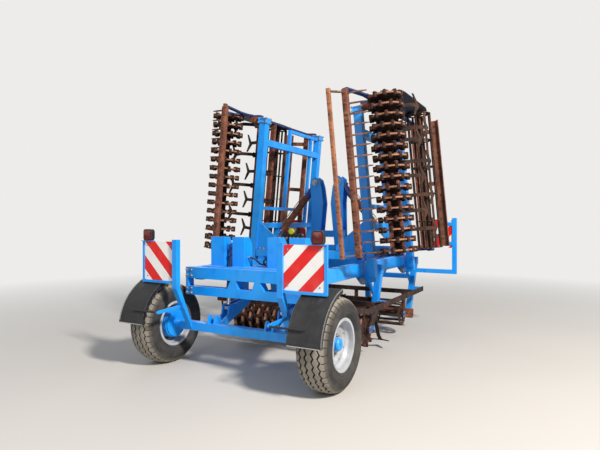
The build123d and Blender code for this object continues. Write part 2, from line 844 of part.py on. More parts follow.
def drop_legs():
    """Braced legs below the side beam that carry the centre section by a stub to its rail."""
    along, across = drop_leg
    half = cross_tube / 2
    solids = []
    for y in leg_rows:
        outline = ((drop_leg_top_x - across / 2, main_beam_low_z), (drop_leg_top_x + across / 2, main_beam_low_z),
                   (drop_leg_low_x + across / 2, drop_leg_low_z), (drop_leg_low_x - across / 2, drop_leg_low_z))
        leg = plate_y(outline, y - along / 2, y + along / 2)
        z = hinge_z - rail_depth
        leg += block(drop_leg_low_x + half, centre_section[1] - side_plate, y - half, y + half, z - half, z + half)
        near, top = y - along / 2 + 1, main_beam_low_z
        brace = ((near, brace_low_z), (near, brace_low_z + brace_width), (near - brace_run, top),
                 (near - brace_run - brace_width, top))
        solids += (leg + plate_x(brace, *brace_plate)).solids()
    return Compound(children=solids)


def front_brackets():
    """Arm and post at each side that hold the front warning boards."""
    x0 = main_beam_x + main_beam_width / 2 + 14
    low = front_bracket_low_z
    y0, y1 = front_sign_y, front_sign_y + front_bracket
    shape = block(x0, front_post_x + front_post / 2, y0, y1, low, low + front_bracket)
    x = front_post_x
    shape += block(x - front_post / 2, x + front_post / 2, y0, y1, low, front_post_top_z)
    shape += block(x - front_post / 2 - 120, x, y0, y0 + 12, front_board_low_z + 40, front_board_low_z + 90)
    shape += block(x - front_post / 2 - 120, x, y0, y0 + 12, front_board_low_z + 330, front_board_low_z + 380)
    return shape


def front_sign():
    """Front warning board on its bracket."""
    x1 = front_post_x - front_post / 2 - seat_gap
    y0 = front_sign_y + 12
    z = front_board_low_z
    return block(x1 - board_side, x1, y0, y0 + board_thickness, z, z + board_side)


# Transport axle

def axle_beam():
    """Axle tube with its swing arms, lugs and stub axles."""
    side = axle_tube / 2
    z = tyre_diameter / 2
    shape = block(-axle_half, axle_half, -side, side, z - side, z + side)
    lug = ((-side, z - side), (-side, z + side), (-10, lug_top_z), (lug_width - 10, lug_top_z))
    saddle = ((arm_saddle_y, arm_saddle_z), (arm_saddle_y + arm_saddle_run, arm_saddle_z + 12))
    lobe = ((axle_eye_y - eye_lobe_reach, axle_eye_z - 60), (axle_eye_y - eye_lobe, axle_eye_z + 30),
            (axle_eye_y, axle_eye_z + eye_lobe), (axle_eye_y + eye_lobe, axle_eye_z + eye_lobe - 4))
    root = ((axle_pivot_y, axle_pivot_z + arm_depth / 2), (axle_pivot_y, axle_pivot_z - arm_depth / 2),
            (side + 15, z - side))
    outline = lug + saddle + lobe + root
    inner = eye_width / 2 + moving_gap
    half = None
    for x0, x1 in ((arm_x - inner - arm_plate, arm_x - inner), (arm_x + inner, arm_x + inner + arm_plate)):
        plate = plate_x(outline, x0, x1) + bar_x(arm_depth / 2, x0, x1, axle_pivot_y, axle_pivot_z)
        plate -= bar_x(axle_pin_radius + running_gap, x0 - 1, x1 + 1, axle_pivot_y, axle_pivot_z)
        half = plate if half is None else half + plate
    x0, x1 = arm_x - inner - arm_plate, arm_x + inner + arm_plate
    for end0, end1 in ((x0 - 18, x0), (x1, x1 + 18)):
        half += bar_x(hinge_pin_radius, end0, end1, axle_eye_y, axle_eye_z)
    stub_end = wheel_track_half + rim_width / 2 - disc_setback + hub_overhang - 30
    half += bar_x(stub_axle_radius, axle_half, stub_end, 0, z)
    plate_end = drum_inner_x() - 6
    half += bar_x(drum_radius - 12, plate_end - 10, plate_end, 0, z)
    return shape + half + other_side(half)


def drum_inner_x():
    """Inner face of the brake drum, beside the inner edge of the rim."""
    return wheel_track_half - rim_width / 2 + 10


def sign_posts():
    """Bent posts from the axle, the carrier bars, the uprights and the lamp brackets."""
    half = post_tube / 2
    x0, x1 = board_inner_x - post_tube, board_inner_x
    foot_y = -axle_tube / 2
    foot_z = tyre_diameter / 2 - post_foot_drop
    bend_z = tyre_diameter / 2 + post_bend_rise
    bar_low, board_low = carrier_low_z(), carrier_low_z() + carrier_height
    top = board_low + board_side
    post_top = top + post_above_board
    low = ((foot_y, foot_z - 25), (foot_y, foot_z + 40), (board_y + half, bend_z + 12),
           (board_y + half, post_top), (board_y - half, post_top), (board_y - half, bend_z))
    shape = plate_x(low, x0, x1)
    outer = board_inner_x + board_side
    shape += block(x1 - 1, outer + upright_tube, board_y - 20, board_y + carrier_half, bar_low, board_low)
    lid = top + lamp_foot
    shape += block(outer, outer + upright_tube, board_y - carrier_half, board_y + carrier_half, bar_low, lid)
    reach = lamp_depth / 2 - 1
    shape += block(outer - lamp_width, outer + upright_tube, board_y - reach, board_y + reach, top, lid)
    stay = guard_inner_radius + guard_thickness + stay_radius + seat_gap
    a = radians(stay_angle)
    y, z = stay * cos(a), tyre_diameter / 2 + stay * sin(a)
    guard_edge = wheel_track_half - guard_width / 2
    shape += bar_x(stay_radius, x1 - 20, guard_edge + stay_overlap, y, z)
    start = (foot_y - 60, z + 20)
    shape += flat_yz(start, (y, z), 34, x1 - 20, x1 - 8)
    return shape


def carrier_low_z():
    """Underside of the carrier bar, just above the mudguard."""
    outer = guard_inner_radius + guard_thickness
    y = board_y + carrier_half
    return tyre_diameter / 2 + sqrt(outer ** 2 - y ** 2) + seat_gap


def rear_sign():
    """Rear warning board between its post and its upright."""
    x0, low = board_inner_x, carrier_low_z() + carrier_height
    return block(x0, x0 + board_side, board_y - board_thickness, board_y, low, low + board_side)


def tail_lamp():
    """Lamp housing with a raised lens, on the outer top corner of the board."""
    outer = board_inner_x + board_side
    low = carrier_low_z() + carrier_height + board_side + lamp_foot
    x0 = outer - lamp_width
    body = block(x0, outer, board_y - lamp_depth / 2, board_y + lamp_depth / 2, low, low + lamp_height)
    body = fillet(body.edges().filter_by(Axis.Y), 14)
    face = block(x0 + 10, outer - 10, board_y - lamp_depth / 2 - 10, board_y, low + 10, low + lamp_height - 10)
    return body + face


def mudguard():
    """Arched guard behind the wheel, with its lips turned in."""
    x0 = wheel_track_half - guard_width / 2
    x1 = wheel_track_half + guard_width / 2
    rad, t = guard_inner_radius, guard_thickness
    shape = arc_band(rad, rad + t, x0, x1)
    shape += arc_band(rad - guard_lip, rad + t, x0, x0 + guard_lip_wall)
    shape += arc_band(rad - guard_lip, rad + t, x1 - guard_lip_wall, x1)
    return Pos(0, 0, tyre_diameter / 2) * shape


def arc_band(inner, outer, x0, x1):
    """A band round the wheel's axis, from the guard's front angle to its rear one."""
    ends = [radians(guard_front_angle), radians(guard_rear_angle)]
    mid = sum(ends) / 2

    def point(radius, angle):
        return (radius * cos(angle), radius * sin(angle))

    edges = [
        ThreePointArc(point(inner, ends[0]), point(inner, mid), point(inner, ends[1])),
        Line(point(inner, ends[1]), point(outer, ends[1])),
        ThreePointArc(point(outer, ends[1]), point(outer, mid), point(outer, ends[0])),
        Line(point(outer, ends[0]), point(inner, ends[0])),
    ]
    return Pos(x0, 0, 0) * extrude(Plane.YZ * make_face(edges), x1 - x0, dir=(1, 0, 0))


# Wheels, turned about X: profiles are (x from the middle of the wheel, radius)

def turned(points):
    """A solid of revolution about X from a profile in (x, radius)."""
    return revolve(Plane.XZ * make_face(Polyline(*points, close=True)), Axis.X)


def wheel_place():
    """The middle of the right wheel."""
    return Pos(wheel_track_half, 0, tyre_diameter / 2)


def tyre():
    """Casing with its tread crown, shoulders, round walls and beads."""
    crown = tyre_diameter / 2
    tread, half = tyre_tread_width / 2, tyre_width / 2
    shoulder = crown - tyre_shoulder_drop
    seat = rim_width / 2 - rim_wall
    b = bead_radius + running_gap
    w = tyre_wall
    right = [(tread * 0.5, crown - 3), (tread, shoulder), (half - 8, shoulder - 46), (half, shoulder - 92),
             (half - 6, b + 66), (seat, b + 24), (seat, b)]
    inner = [(seat - 26, b), (seat - 26, b + 26), (half - w - 12, b + 76), (half - w, shoulder - 92),
             (tread - 6, shoulder - w - 14), (0, crown - w - 26)]
    left = [(-x, r) for x, r in reversed(right)]
    back = [(-x, r) for x, r in reversed(inner[:-1])]
    outline = [(0, crown)] + right + inner + back + left
    return wheel_place() * turned(outline)


def rim():
    """Pressed rim: flanges, bead seats, a stepped drop centre and a set-back disc."""
    half, w = rim_width / 2, rim_wall
    flange, bead, drop = rim_flange_radius, bead_radius, rim_drop_radius
    d = rim_drop_width / 2
    outer = [(-half, flange), (-half + w, flange), (-half + w, bead), (-d - 24, bead), (-d, drop), (d, drop),
             (d + 24, bead), (half - w, bead), (half - w, flange), (half, flange)]
    inner = [(half, bead - w), (d + 20, bead - w), (d - 4, drop - w), (-d + 4, drop - w), (-d - 20, bead - w),
             (-half, bead - w)]
    barrel_shape = turned(outer + inner)
    x = half - disc_setback
    t = disc_thickness
    disc = turned([(x, hub_radius + seat_gap), (x, 120), (x + rim_step / 2, 150), (x + rim_step / 2, drop - w + 1),
                   (x + rim_step / 2 - t, drop - w + 1), (x + rim_step / 2 - t, 158), (x - t, 128),
                   (x - t, hub_radius + seat_gap)])
    return wheel_place() * (barrel_shape + disc)


def hub():
    """Hub with its cap outside the disc and the brake drum inside the rim."""
    x = rim_width / 2 - disc_setback
    bore = stub_axle_radius + running_gap
    cap = x + hub_overhang
    inner = drum_inner_x() - wheel_track_half
    outline = [(inner, bore), (inner, drum_radius), (inner + drum_length, drum_radius),
               (inner + drum_length, hub_radius + 30), (x - disc_thickness - 4, hub_radius + 24),
               (x - disc_thickness - 4, hub_radius), (cap - 12, hub_radius), (cap, hub_radius - 12), (cap, 0),
               (cap - 25, 0), (cap - 25, bore)]
    return wheel_place() * turned(outline)


# Placing everything

def build():
    """Every node of the machine by name, in the drawing frame."""
    nodes = {}
    nodes["main_frame"] = main_frame()
    nodes["rear_frame"] = rear_frame()
    nodes["ram_deck"] = ram_deck()
    nodes["tower"] = tower()
    nodes["tower_core"] = tower_core()
    nodes["drawbar"] = drawbar()
    nodes["hitch_yoke"] = hitch_yoke()
    nodes["parking_leg"] = parking_leg()
    nodes["front_brackets"] = both(front_brackets())
    nodes["front_signs"] = both(front_sign())
    nodes["valve_block"] = valve_block()
    left_route, right_route = hose_routes()
    nodes["hose_left"] = hose(left_route)
    nodes["hose_right"] = hose(right_route)
    nodes["hose_fittings"] = hose_fittings()
    nodes["drop_legs"] = both(drop_legs())
    nodes["section_centre"] = lowered(section_frame(*centre_section, leg_rows[1] + drop_leg[0] / 2))
    nodes["tines_centre"] = lowered(tines(centre_tines))
    nodes["comb_centre"] = lowered(comb(*centre_section, False))
    nodes["level_board_centre"] = lowered(levelling_board(*centre_section))
    nodes["ring_roller_centre"] = lowered(ring_roller(*centre_section))
    nodes["cage_roller_centre"] = lowered(cage_roller(*centre_section))

    wing = {
        "wing_frame": wing_frame(),
        "section": section_frame(*wing_section, wing_rail_front_y) + wing_drops(*wing_section),
        "tines": tines(wing_tines),
        "comb": comb(*wing_section, True),
        "level_board": levelling_board(*wing_section),
        "end_plate": end_plate(wing_section[1]),
        "ring_roller": ring_roller(*wing_section),
        "cage_roller": cage_roller(*wing_section),
    }
    wheel = {"tyre": tyre(), "rim": rim(), "hub": hub()}
    rams = cylinders()
    for name, shape in wing.items():
        right = folded(shape)
        nodes[name + "_right"] = right
        nodes[name + "_left"] = other_side(right)
    for name, shape in (*wheel.items(), *rams.items()):
        nodes[name + "_right"] = shape
        nodes[name + "_left"] = other_side(shape)

    nodes["axle_beam"] = axle_beam()
    nodes["sign_posts"] = both(sign_posts())
    nodes["rear_signs"] = both(rear_sign())
    nodes["tail_lamps"] = both(tail_lamp())
    nodes["mudguards"] = both(mudguard())
    return nodes


def fold_pin():
    """Where the fold cylinder's rod meets the right wing, with the wing folded."""
    a = radians(wing_lean)
    x = hinge_x - fold_pin_s * sin(a) + fold_pin_n * cos(a)
    z = hinge_z + fold_pin_s * cos(a) + fold_pin_n * sin(a)
    return (x, tower_y, z)


def cylinders():
    """The right fold cylinder and the right axle cylinder, each a barrel and a rod."""
    fold_top, fold_low = (tower_pin_x, tower_y, tower_pin_z), fold_pin()
    axle_top, axle_low = (arm_x, axle_ram_top_y, axle_ram_top_z), (arm_x, axle_eye_y, axle_eye_z)
    fold_place = cylinder_place(fold_top, fold_low, (0, 1, 0))
    axle_place = cylinder_place(axle_top, axle_low, (1, 0, 0))
    fold_length = (Vector(*fold_low) - Vector(*fold_top)).length
    axle_length = (Vector(*axle_low) - Vector(*axle_top)).length
    start = eye_radius + 36
    return {
        "fold_barrel": fold_place * barrel(fold_barrel_end, barrel_radius),
        "fold_rod": fold_place * rod(start, fold_length),
        "axle_barrel": axle_place * barrel(axle_barrel_end, barrel_radius - 6),
        "axle_rod": axle_place * rod(axle_length - axle_barrel_end + 120, axle_length),
    }


def write(nodes):
    """Move the machine over its origin and write one file for each node."""
    os.makedirs("parts", exist_ok=True)
    boxes = [shape.bounding_box() for shape in nodes.values()]
    middle = (min(b.min.Y for b in boxes) + max(b.max.Y for b in boxes)) / 2
    print("middle_y", round(middle, 3))
    for name, shape in nodes.items():
        solids = [Pos(0, -middle, 0) * solid for solid in shape.solids()]
        export_step(Compound(solids), f"parts/{name}.step")


write(build())
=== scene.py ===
"""Dresses the parked seedbed cultivator with its finishes and its detailed pieces.

Lengths are metres in the machine's own frame: X to the right, Y forward, Z up.
Pieces of the left side are the right side's pieces, mirrored.
"""
from __future__ import annotations

import json
import logging
import math
from dataclasses import dataclass
from enum import Enum

import bmesh
import bpy
from mathutils import Matrix, Vector


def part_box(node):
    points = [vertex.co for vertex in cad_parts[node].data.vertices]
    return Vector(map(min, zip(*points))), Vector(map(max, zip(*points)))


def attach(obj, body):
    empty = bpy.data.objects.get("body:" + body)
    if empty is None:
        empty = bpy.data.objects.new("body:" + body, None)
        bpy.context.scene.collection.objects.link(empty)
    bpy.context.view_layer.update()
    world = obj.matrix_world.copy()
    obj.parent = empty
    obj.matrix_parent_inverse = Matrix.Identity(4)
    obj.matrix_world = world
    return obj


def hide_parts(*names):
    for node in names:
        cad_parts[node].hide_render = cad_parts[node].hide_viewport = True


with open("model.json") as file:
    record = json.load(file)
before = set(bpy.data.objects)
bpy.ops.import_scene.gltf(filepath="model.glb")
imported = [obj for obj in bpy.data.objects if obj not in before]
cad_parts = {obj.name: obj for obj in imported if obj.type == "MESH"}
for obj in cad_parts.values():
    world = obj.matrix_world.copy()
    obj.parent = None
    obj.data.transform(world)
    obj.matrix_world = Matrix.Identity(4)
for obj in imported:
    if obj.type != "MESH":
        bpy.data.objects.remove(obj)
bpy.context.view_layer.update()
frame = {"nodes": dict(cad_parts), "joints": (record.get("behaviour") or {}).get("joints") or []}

log = logging.getLogger("cultivator")


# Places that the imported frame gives

JOINTS: dict[str, dict] = {joint["name"]: joint for joint in frame["joints"]}


def joint_place(name: str) -> Vector:
    """The point that a joint turns about."""
    return Vector(JOINTS[name]["pos_m"])


AXLE = joint_place("wheel_spin_right")
HINGE = joint_place("wing_fold_right")


def ahead(distance: float) -> float:
    """A Y place from its distance ahead of the transport axle."""
    return AXLE.y + distance


class Side(Enum):
    """The two sides of the machine."""

    RIGHT = "right"
    LEFT = "left"

    @property
    def mirror(self) -> Matrix:
        """The matrix that takes a piece of the right side to this side."""
        across = 1.0 if self is Side.RIGHT else -1.0
        return Matrix.Diagonal((across, 1.0, 1.0, 1.0))

    def of(self, stem: str) -> str:
        """The name of a piece, node or body on this side."""
        return f"{stem}_{self.value}"


def wing_place() -> Matrix:
    """From a wing as it lies at work, hinge line at the origin, to the right wing as it parks."""
    along = Vector(JOINTS["ring_right_spin"]["axis"])
    forward = Vector((0.0, 1.0, 0.0))
    upright = along.cross(forward)
    turn = Matrix((along, forward, upright)).transposed().to_4x4()
    return Matrix.Translation((HINGE.x, AXLE.y, HINGE.z)) @ turn


def centre_place() -> Matrix:
    """From the centre section, drawn below the hinge line, to its place."""
    return Matrix.Translation((0.0, AXLE.y, HINGE.z))


# Meshes

class Forge:
    """Faces collected from turned, lofted and cut shapes, which become one piece."""

    def __init__(self, place: Matrix | None = None) -> None:
        """Start an empty mesh.

        Args:
            place: Where the shapes' own frame lies in the machine.
        """
        self.points: list[Vector] = []
        self.faces: list[tuple[int, ...]] = []
        self.tones: list[int] = []
        self.tone = 0
        self.place = place or Matrix.Identity(4)

    def add(self, points: list, faces: list, place: Matrix | None = None) -> None:
        """Add points and the faces between them.

        Args:
            points: Points in the shape's own frame.
            faces: Tuples of indices into the points.
            place: Where the shape lies in the forge's frame.
        """
        start = len(self.points)
        matrix = self.place @ place if place else self.place
        self.points.extend(matrix @ Vector(p) for p in points)
        self.faces.extend(tuple(start + i for i in face) for face in faces)
        self.tones.extend([self.tone] * len(faces))

    def loft(self, rings: list, place: Matrix | None = None, closed: bool = False) -> None:
        """Skin a run of rings that have as many points each.

        Args:
            rings: Closed rings of points.
            place: Where the shape lies in the forge's frame.
            closed: Whether the last ring joins the first one, and no end is capped.
        """
        n = len(rings[0])
        points = [p for ring in rings for p in ring]
        faces = []
        for k in range(len(rings) if closed else len(rings) - 1):
            a, b = k * n, (k + 1) % len(rings) * n
            faces += [(a + i, a + (i + 1) % n, b + (i + 1) % n, b + i) for i in range(n)]
        if not closed:
            faces.append(tuple(range(n)))
            faces.append(tuple(range(len(points) - n, len(points))))
        self.add(points, faces, place)

    def turned(self, profile: list, count: int, place: Matrix | None = None) -> None:
        """Turn a closed profile of (x, radius) about the X axis.

        Args:
            profile: Corners of the section.
            count: Facets round the axis.
            place: Where the shape lies in the forge's frame.
        """
        rings = [[polar(x, r, math.tau * k / count) for x, r in profile] for k in range(count)]
        self.loft(rings, place, closed=True)

    def bar(self, section: list, start: float, end: float, place: Matrix | None = None) -> None:
        """Draw a (y, z) section out along X."""
        self.loft([[(x, *point) for point in section] for x in (start, end)], place)

    def prism(self, outline: list, low: float, high: float, place: Matrix | None = None) -> None:
        """Raise a flat (x, y) outline from one height to another."""
        self.loft([[(x, y, z) for x, y in outline] for z in (low, high)], place)

    def box(self, low: tuple, high: tuple, place: Matrix | None = None) -> None:
        """Add a block between two corners."""
        outline = [(low[0], low[1]), (high[0], low[1]), (high[0], high[1]), (low[0], high[1])]
        self.prism(outline, low[2], high[2], place)

    def rod(self, start: tuple, end: tuple, radius: float, count: int = 12) -> None:
        """Add a round bar between two points."""
        self.tube([Vector(start), Vector(end)], radius, count)

    def tube(self, path: list[Vector], radius: float, count: int = 10) -> None:
        """Sweep a circle along a path.

        Args:
            path: Points of the middle line.
            radius: The tube's radius.
            count: Facets round the tube.
        """
        rings = []
        up = Vector((0.0, 0.0, 1.0))
        if abs((path[1] - path[0]).normalized().z) > 0.9:
            up = Vector((0.0, 1.0, 0.0))
        for i, point in enumerate(path):
            along = (path[min(i + 1, len(path) - 1)] - path[max(i - 1, 0)]).normalized()
            across = along.cross(up).normalized()
            up = across.cross(along).normalized()
            turn = [math.tau * k / count for k in range(count)]
            rings.append([point + (across * math.cos(a) + up * math.sin(a)) * radius for a in turn])
        self.loft(rings)

    def bolt(self, at: tuple, normal: tuple, across: float = 0.024, shank: float = 0.0) -> None:
        """Add a hexagon head on its washer.

        Args:
            at: Where the washer sits.
            normal: The direction that the head points in.
            across: Width across the flats.
            shank: How far a threaded end stands out of the head.
        """
        tall = across * 0.65
        place = facing(at, normal)
        washer = across * 0.08
        self.turned([(-washer, 0.0), (-washer, across), (washer, across), (washer, 0.0)], 16, place)
        radius = across / 2 / math.cos(math.radians(30))
        head = [(washer, 0.0), (washer, radius), (tall * 0.85, radius), (tall, radius * 0.88), (tall, 0.0)]
        self.turned(head, 6, place)
        if shank:
            end = tall + shank
            core = across * 0.3
            self.turned([(tall * 0.5, 0.0), (tall * 0.5, core), (end, core), (end, 0.0)], 10, place)

    def piece(self, name: str, body: str, slot: str, *materials: bpy.types.Material,
              origin: Vector | None = None, bevel: float = 0.0, crease: float = 32.0) -> bpy.types.Object:
        """Make the object, dress it and let it ride on its body.

        Args:
            name: The piece's name.
            body: The body that it moves with.
            slot: The record's material slot; not used.
            materials: One material for each tone, in order.
            origin: Where the object's own origin lies.
            bevel: Width of the softened edges, or 0 for none.
            crease: Angle in degrees above which an edge stays sharp.

        Returns:
            The object.
        """
        mesh = bpy.data.meshes.new(name)
        shift = origin or Vector()
        mesh.from_pydata([tuple(p - shift) for p in self.points], [], self.faces)
        mesh.polygons.foreach_set("material_index", self.tones)
        mend(mesh, 1e-6)
        shade(mesh, crease)
        piece = add_object(name, mesh)
        piece.location = shift
        for material in materials:
            mesh.materials.append(material)
        if bevel:
            rounding = piece.modifiers.new("rounding", "BEVEL")
            rounding.width = bevel
            rounding.segments = 2
            rounding.limit_method = "ANGLE"
            rounding.angle_limit = math.radians(40)
        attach(piece, body)
        log.info("%s: %d faces on %s", name, len(mesh.polygons), body)
        return piece


def rounded(corners: list, radius: float, steps: int = 3) -> list:
    """Round the corners of a closed outline.

    Args:
        corners: Corners as (a, b) pairs.
        radius: Radius of the corners, less where an edge is short.
        steps: Points on each corner.

    Returns:
        The rounded outline.
    """
    result = []
    for i, corner in enumerate(corners):
        here = Vector(corner)
        before, after = Vector(corners[i - 1]) - here, Vector(corners[(i + 1) % len(corners)]) - here
        reach = min(radius, before.length * 0.45, after.length * 0.45)
        start, end = here + before.normalized() * reach, here + after.normalized() * reach
        for k in range(steps + 1):
            t = k / steps
            result.append(tuple(start * (1 - t) ** 2 + here * 2 * t * (1 - t) + end * t ** 2))
    return result


def rectangle(low: tuple, high: tuple, radius: float, steps: int = 3) -> list:
    """The outline of a rectangle with rounded corners."""
    return rounded([low, (high[0], low[1]), high, (low[0], high[1])], radius, steps)


def square(at: tuple, half: float, radius: float) -> list:
    """The rounded outline of a square bar about its middle."""
    return rectangle((at[0] - half, at[1] - half), (at[0] + half, at[1] + half), radius)


def polar(x: float, radius: float, angle: float) -> tuple[float, float, float]:
    """A point at a distance from the X axis, turned about it."""
    return (x, radius * math.cos(angle), radius * math.sin(angle))


def facing(at: tuple, normal: tuple) -> Matrix:
    """A frame at a point, its X axis along a direction."""
    turn = Vector(normal).normalized().to_track_quat("X", "Z")
    return Matrix.Translation(at) @ turn.to_matrix().to_4x4()


def add_object(name: str, data: bpy.types.ID) -> bpy.types.Object:
    """Make an object and put it in the scene."""
    made = bpy.data.objects.new(name, data)
    bpy.context.scene.collection.objects.link(made)
    return made


def mend(mesh: bpy.types.Mesh, weld: float = 0.0) -> None:
    """Turn a mesh's faces outwards.

    Args:
        mesh: The mesh.
        weld: Points closer than this are joined, or 0 for none.
    """
    cleaned = bmesh.new()
    cleaned.from_mesh(mesh)
    if weld:
        bmesh.ops.remove_doubles(cleaned, verts=cleaned.verts, dist=weld)
        bmesh.ops.dissolve_degenerate(cleaned, edges=cleaned.edges, dist=weld)
    bmesh.ops.recalc_face_normals(cleaned, faces=cleaned.faces)
    cleaned.to_mesh(mesh)
    cleaned.free()


def shade(mesh: bpy.types.Mesh, crease: float = 32.0) -> None:
    """Shade a mesh smooth, but sharp at edges above an angle in degrees."""
    mesh.shade_smooth()
    mesh.set_sharp_from_angle(angle=math.radians(crease))


# Finishes

def linear(code: str) -> tuple[float, float, float, float]:
    """Turn an sRGB hex colour into a linear one."""
    shares = [int(code[i:i + 2], 16) / 255 for i in (1, 3, 5)]
    r, g, b = (c / 12.92 if c <= 0.04045 else ((c + 0.055) / 1.055) ** 2.4 for c in shares)
    return (r, g, b, 1.0)


def add_node(tree: bpy.types.NodeTree, kind: str, inputs: dict | None = None, **settings) -> bpy.types.Node:
    """Add one shader node.

    Args:
        tree: The material's or world's nodes.
        kind: The node's type, without its usual prefix.
        inputs: Values or links for its inputs, by name or number.
        settings: The node's own options.

    Returns:
        The node.
    """
    node = tree.nodes.new("ShaderNode" + kind)
    for name, value in settings.items():
        setattr(node, name, value)
    for socket, value in (inputs or {}).items():
        if isinstance(value, bpy.types.NodeSocket):
            tree.links.new(value, node.inputs[socket])
        else:
            node.inputs[socket].default_value = value
    return node


class Coating:
    """A material in the making: a shader, and the layers that are laid on it in turn."""

    def __init__(self, name: str, colour: str, roughness: float, **sockets: float) -> None:
        """Start from the bare surface.

        Args:
            name: The material's name.
            colour: Its sRGB colour.
            roughness: Its roughness.
            sockets: Other values of the shader, with underscores for spaces.
        """
        self.material = bpy.data.materials.new(name)
        self.material.use_nodes = True
        self.tree = self.material.node_tree
        self.tree.nodes.clear()
        plain = {key.replace("_", " "): value for key, value in sockets.items()}
        self.shader = add_node(self.tree, "BsdfPrincipled", plain)
        add_node(self.tree, "OutputMaterial", {"Surface": self.shader.outputs[0]})
        self.coords = add_node(self.tree, "TexCoord")
        self.colour: object = linear(colour)
        self.roughness: object = roughness
        self.normal: bpy.types.NodeSocket | None = None

    def patches(self, size: float, low: float, high: float, detail: float = 3.0, share: float = 1.0,
                within: bpy.types.NodeSocket | None = None,
                stretch: tuple = (1.0, 1.0, 1.0)) -> bpy.types.NodeSocket:
        """A mask of irregular patches.

        Args:
            size: The patches' real size in metres.
            low: Noise value where the mask starts.
            high: Noise value where the mask is full.
            detail: How ragged the patches are.
            share: How strong the mask is where it is full.
            within: Another mask that the patches keep to.
            stretch: How much longer the patches are along each axis.

        Returns:
            The mask.
        """
        scale = tuple(1.0 / (size * s) for s in stretch)
        lie = add_node(self.tree, "Mapping", {"Vector": self.coords.outputs["Object"], "Scale": scale})
        noise = add_node(self.tree, "TexNoise", {"Vector": lie.outputs[0], "Scale": 1.0, "Detail": detail})
        mask = add_node(self.tree, "MapRange", {"Value": noise.outputs[0], "From Min": low, "From Max": high,
                                                "To Max": share}).outputs[0]
        if within is None:
            return mask
        return add_node(self.tree, "Math", {0: mask, 1: within}, operation="MULTIPLY").outputs[0]

    def upward(self, low: float, high: float) -> bpy.types.NodeSocket:
        """A mask of the faces that look up, from their normal's height."""
        parts = add_node(self.tree, "SeparateXYZ", {"Vector": self.coords.outputs["Normal"]})
        return add_node(self.tree, "MapRange", {"Value": parts.outputs["Z"], "From Min": low,
                                                "From Max": high}).outputs[0]

    def off_axis(self) -> bpy.types.NodeSocket:
        """The distance from the object's X axis, in metres."""
        flat = add_node(self.tree, "VectorMath", {0: self.coords.outputs["Object"], 1: (0.0, 1.0, 1.0)},
                        operation="MULTIPLY")
        return add_node(self.tree, "VectorMath", {0: flat.outputs[0]}, operation="LENGTH").outputs["Value"]

    def soften(self, radius: float) -> bpy.types.NodeSocket:
        """Round the edges in the shading.

        Args:
            radius: The edges' radius.

        Returns:
            A mask of those edges.
        """
        edge = add_node(self.tree, "Bevel", {"Radius": radius}, samples=4)
        true = add_node(self.tree, "NewGeometry")
        dot = add_node(self.tree, "VectorMath", {0: edge.outputs[0], 1: true.outputs["Normal"]},
                       operation="DOT_PRODUCT")
        self.normal = edge.outputs[0]
        return add_node(self.tree, "MapRange", {"Value": dot.outputs["Value"], "From Min": 0.99,
                                                "From Max": 0.82}).outputs[0]

    def lay(self, mask: object, colour: str, roughness: float | None = None) -> None:
        """Lay a colour over what is there.

        Args:
            mask: Where it lies.
            colour: Its sRGB colour.
            roughness: Its roughness, or None for what is there.
        """
        over = add_node(self.tree, "Mix", {0: mask, 6: self.colour, 7: linear(colour)}, data_type="RGBA")
        self.colour = over.outputs[2]
        if roughness is not None:
            mixed = add_node(self.tree, "Mix", {0: mask, 2: self.roughness, 3: roughness}, data_type="FLOAT")
            self.roughness = mixed.outputs[0]

    def raise_by(self, height: bpy.types.NodeSocket, depth: float, strength: float = 1.0) -> None:
        """Raise the surface by a height map.

        Args:
            height: The map, from 0 to 1.
            depth: The greatest height in metres.
            strength: How much of it shows.
        """
        inputs: dict = {"Height": height, "Distance": depth, "Strength": strength}
        if self.normal is not None:
            inputs["Normal"] = self.normal
        self.normal = add_node(self.tree, "Bump", inputs).outputs[0]

    def done(self) -> bpy.types.Material:
        """Join the layers to the shader and give the material."""
        for socket, value in (("Base Color", self.colour), ("Roughness", self.roughness)):
            if isinstance(value, bpy.types.NodeSocket):
                self.tree.links.new(value, self.shader.inputs[socket])
            else:
                self.shader.inputs[socket].default_value = value
        if self.normal is not None:
            self.tree.links.new(self.normal, self.shader.inputs["Normal"])
        return self.material


@dataclass(frozen=True)
class MachinePaint:
    """Alkyd machine paint, sprayed: even and half glossy, chalky with age, chipped to rust at the edges."""

    name: str
    base: str
    faded: str
    shade: str
    dust: str = "#A79C86"
    rust: str = "#6B3B26"
    gloss: float = 0.36
    fade_size: float = 0.55
    run_size: float = 0.05
    chip_size: float = 0.014
    edge_radius: float = 0.005
    film: float = 0.10
    wear: float = 0.8

    def layers(self) -> Coating:
        """Lay the paint's layers and give the material in the making."""
        coat = Coating(self.name, self.base, self.gloss, Specular_IOR_Level=0.5)
        edges = coat.soften(self.edge_radius)
        coat.lay(coat.patches(self.fade_size, 0.42, 0.68), self.faded, 0.46)
        coat.lay(coat.patches(self.fade_size * 0.36, 0.55, 0.85, 5.0), self.shade)
        coat.lay(coat.patches(self.run_size, 0.56, 0.8, 4.0, 0.45, stretch=(1.0, 1.0, 9.0)), self.shade, 0.55)
        coat.lay(coat.patches(0.09, 0.35, 0.75, 5.0, 0.5, coat.upward(0.55, 0.98)), self.dust, 0.85)
        coat.lay(coat.patches(0.33, 0.45, 0.75, 6.0, self.film), self.dust, 0.6)
        coat.lay(coat.patches(self.chip_size * 2, 0.47, 0.6, 4.0, self.wear, edges), self.rust, 0.85)
        coat.lay(coat.patches(self.chip_size, 0.735, 0.76, 3.0, self.wear), self.rust, 0.85)
        coat.raise_by(coat.patches(0.004, 0.2, 0.8, 2.0), 0.0004, 0.25)
        return coat

    def make(self) -> bpy.types.Material:
        """Make the material."""
        return self.layers().done()


